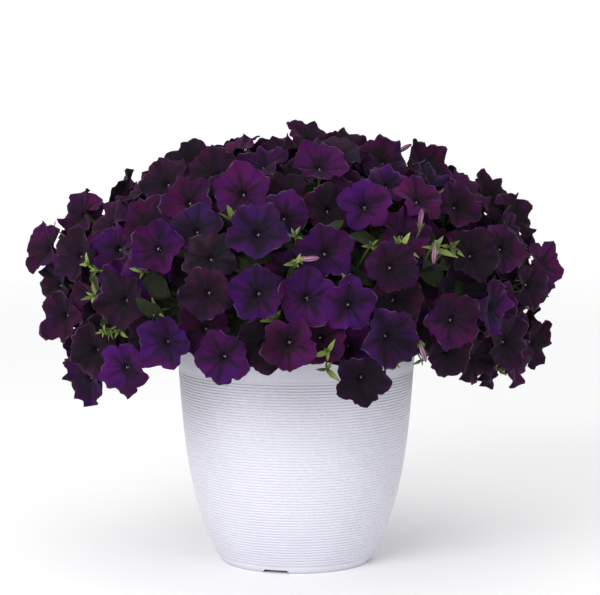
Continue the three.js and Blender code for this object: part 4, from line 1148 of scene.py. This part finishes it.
def make_soil():
    """A lumpy bed of potting soil that fills the pot."""
    a = TURN * np.arange(SOIL_SIDES) / SOIL_SIDES
    edge = pot_radius(SOIL_TOP) - POT_WALL - 0.35
    rows = []
    for s in np.linspace(0.03, 1, 40):
        lumps = 2.2 * np.sin(9 * a + 7 * s) * np.sin(23 * s) + rng.normal(size=SOIL_SIDES) * 1.1
        z = SOIL_TOP + (lumps - 1.2) * (1 - smooth(0.93, 1, s)) * smooth(0, 0.1, s)
        rows.append(pot_ring(a, edge * s, z))
    for z in np.linspace(SOIL_TOP - 6, FOOT_RECESS + FLOOR + 4, 8):
        rows.append(pot_ring(a, pot_radius(z) - POT_WALL - 0.5, z))
    body = Body()
    add_skin(body, rows, [[0, 0, SOIL_TOP], [0, 0, FOOT_RECESS + FLOOR + 1]], flip=True)
    body.make("soil_bed", [SOIL], "soil", ["soil"])


make_pot()
make_soil()

# ---- floor and light, in metres and watts

# painted light: the floor glows, more with distance from the pot, so that it fades into the white behind
GLOW_FROM, GLOW_FULL, GLOW = 1.6, 6.0, 0.16  # the floor's own light, by distance from the pot
AIM = (0, 0, 0.3)
LIGHTS = {
    "key": {"place": (-1.45, -2.4, 1.6), "size": (2.0, 1.4), "watts": 66, "colour": (1.0, 0.99, 0.98)},
    "fill": {"place": (1.9, -2.4, 1.3), "size": (1.6, 1.6), "watts": 14, "colour": (0.97, 0.98, 1.0)},
}


def plain_stage():
    """A pale sheet that fades into the white behind."""
    mesh = bpy.data.meshes.new("floor")
    mesh.from_pydata([(-30, -12, 0), (30, -12, 0), (30, 40, 0), (-30, 40, 0)], [], [(0, 1, 2, 3)])
    floor = put_in_scene("floor", mesh)
    m = Nodes("floor_paper")
    x, y, _ = m.parts(m.place())
    away = m.math("SQRT", m.plus(m.times(x, x), m.times(y, y)))
    m.set(Base_Color=m.mix(m.noise(2.0), rgb(0.86, 0.86, 0.87), rgb(0.88, 0.88, 0.89)), Roughness=0.85,
          Specular_IOR_Level=0.1)
    # painted light: a white glow that grows with distance from the pot
    m.set(Emission_Color=rgb(1, 1, 1), Emission_Strength=m.span(away, GLOW_FROM, GLOW_FULL, 0.0, GLOW))
    mesh.materials.append(m.material)


def add_light(name, place, size, watts, colour):
    data = bpy.data.lights.new(name, "AREA")
    data.shape = "RECTANGLE"
    data.size, data.size_y = size
    data.energy, data.color = watts, colour
    light = put_in_scene(name, data)
    place = np.array(place, float)
    back = unit(place - AIM)
    x = unit(np.cross(UP, back))
    y = np.cross(back, x)
    light.matrix_world = Matrix([[x[i], y[i], back[i], place[i]] for i in range(3)] + [[0, 0, 0, 1]])


def studio():
    world = bpy.data.worlds.new("studio")
    bpy.context.scene.world = world
    world.use_nodes = True
    background = world.node_tree.nodes["Background"]
    background.inputs["Color"].default_value = (1.0, 1.0, 1.0, 1.0)
    background.inputs["Strength"].default_value = 1.0
    for name, light in LIGHTS.items():
        add_light(name, **light)
    view = bpy.context.scene.view_settings
    view.view_transform, view.look, view.exposure, view.gamma = "Standard", "None", 0.0, 1.0


plain_stage()
studio()
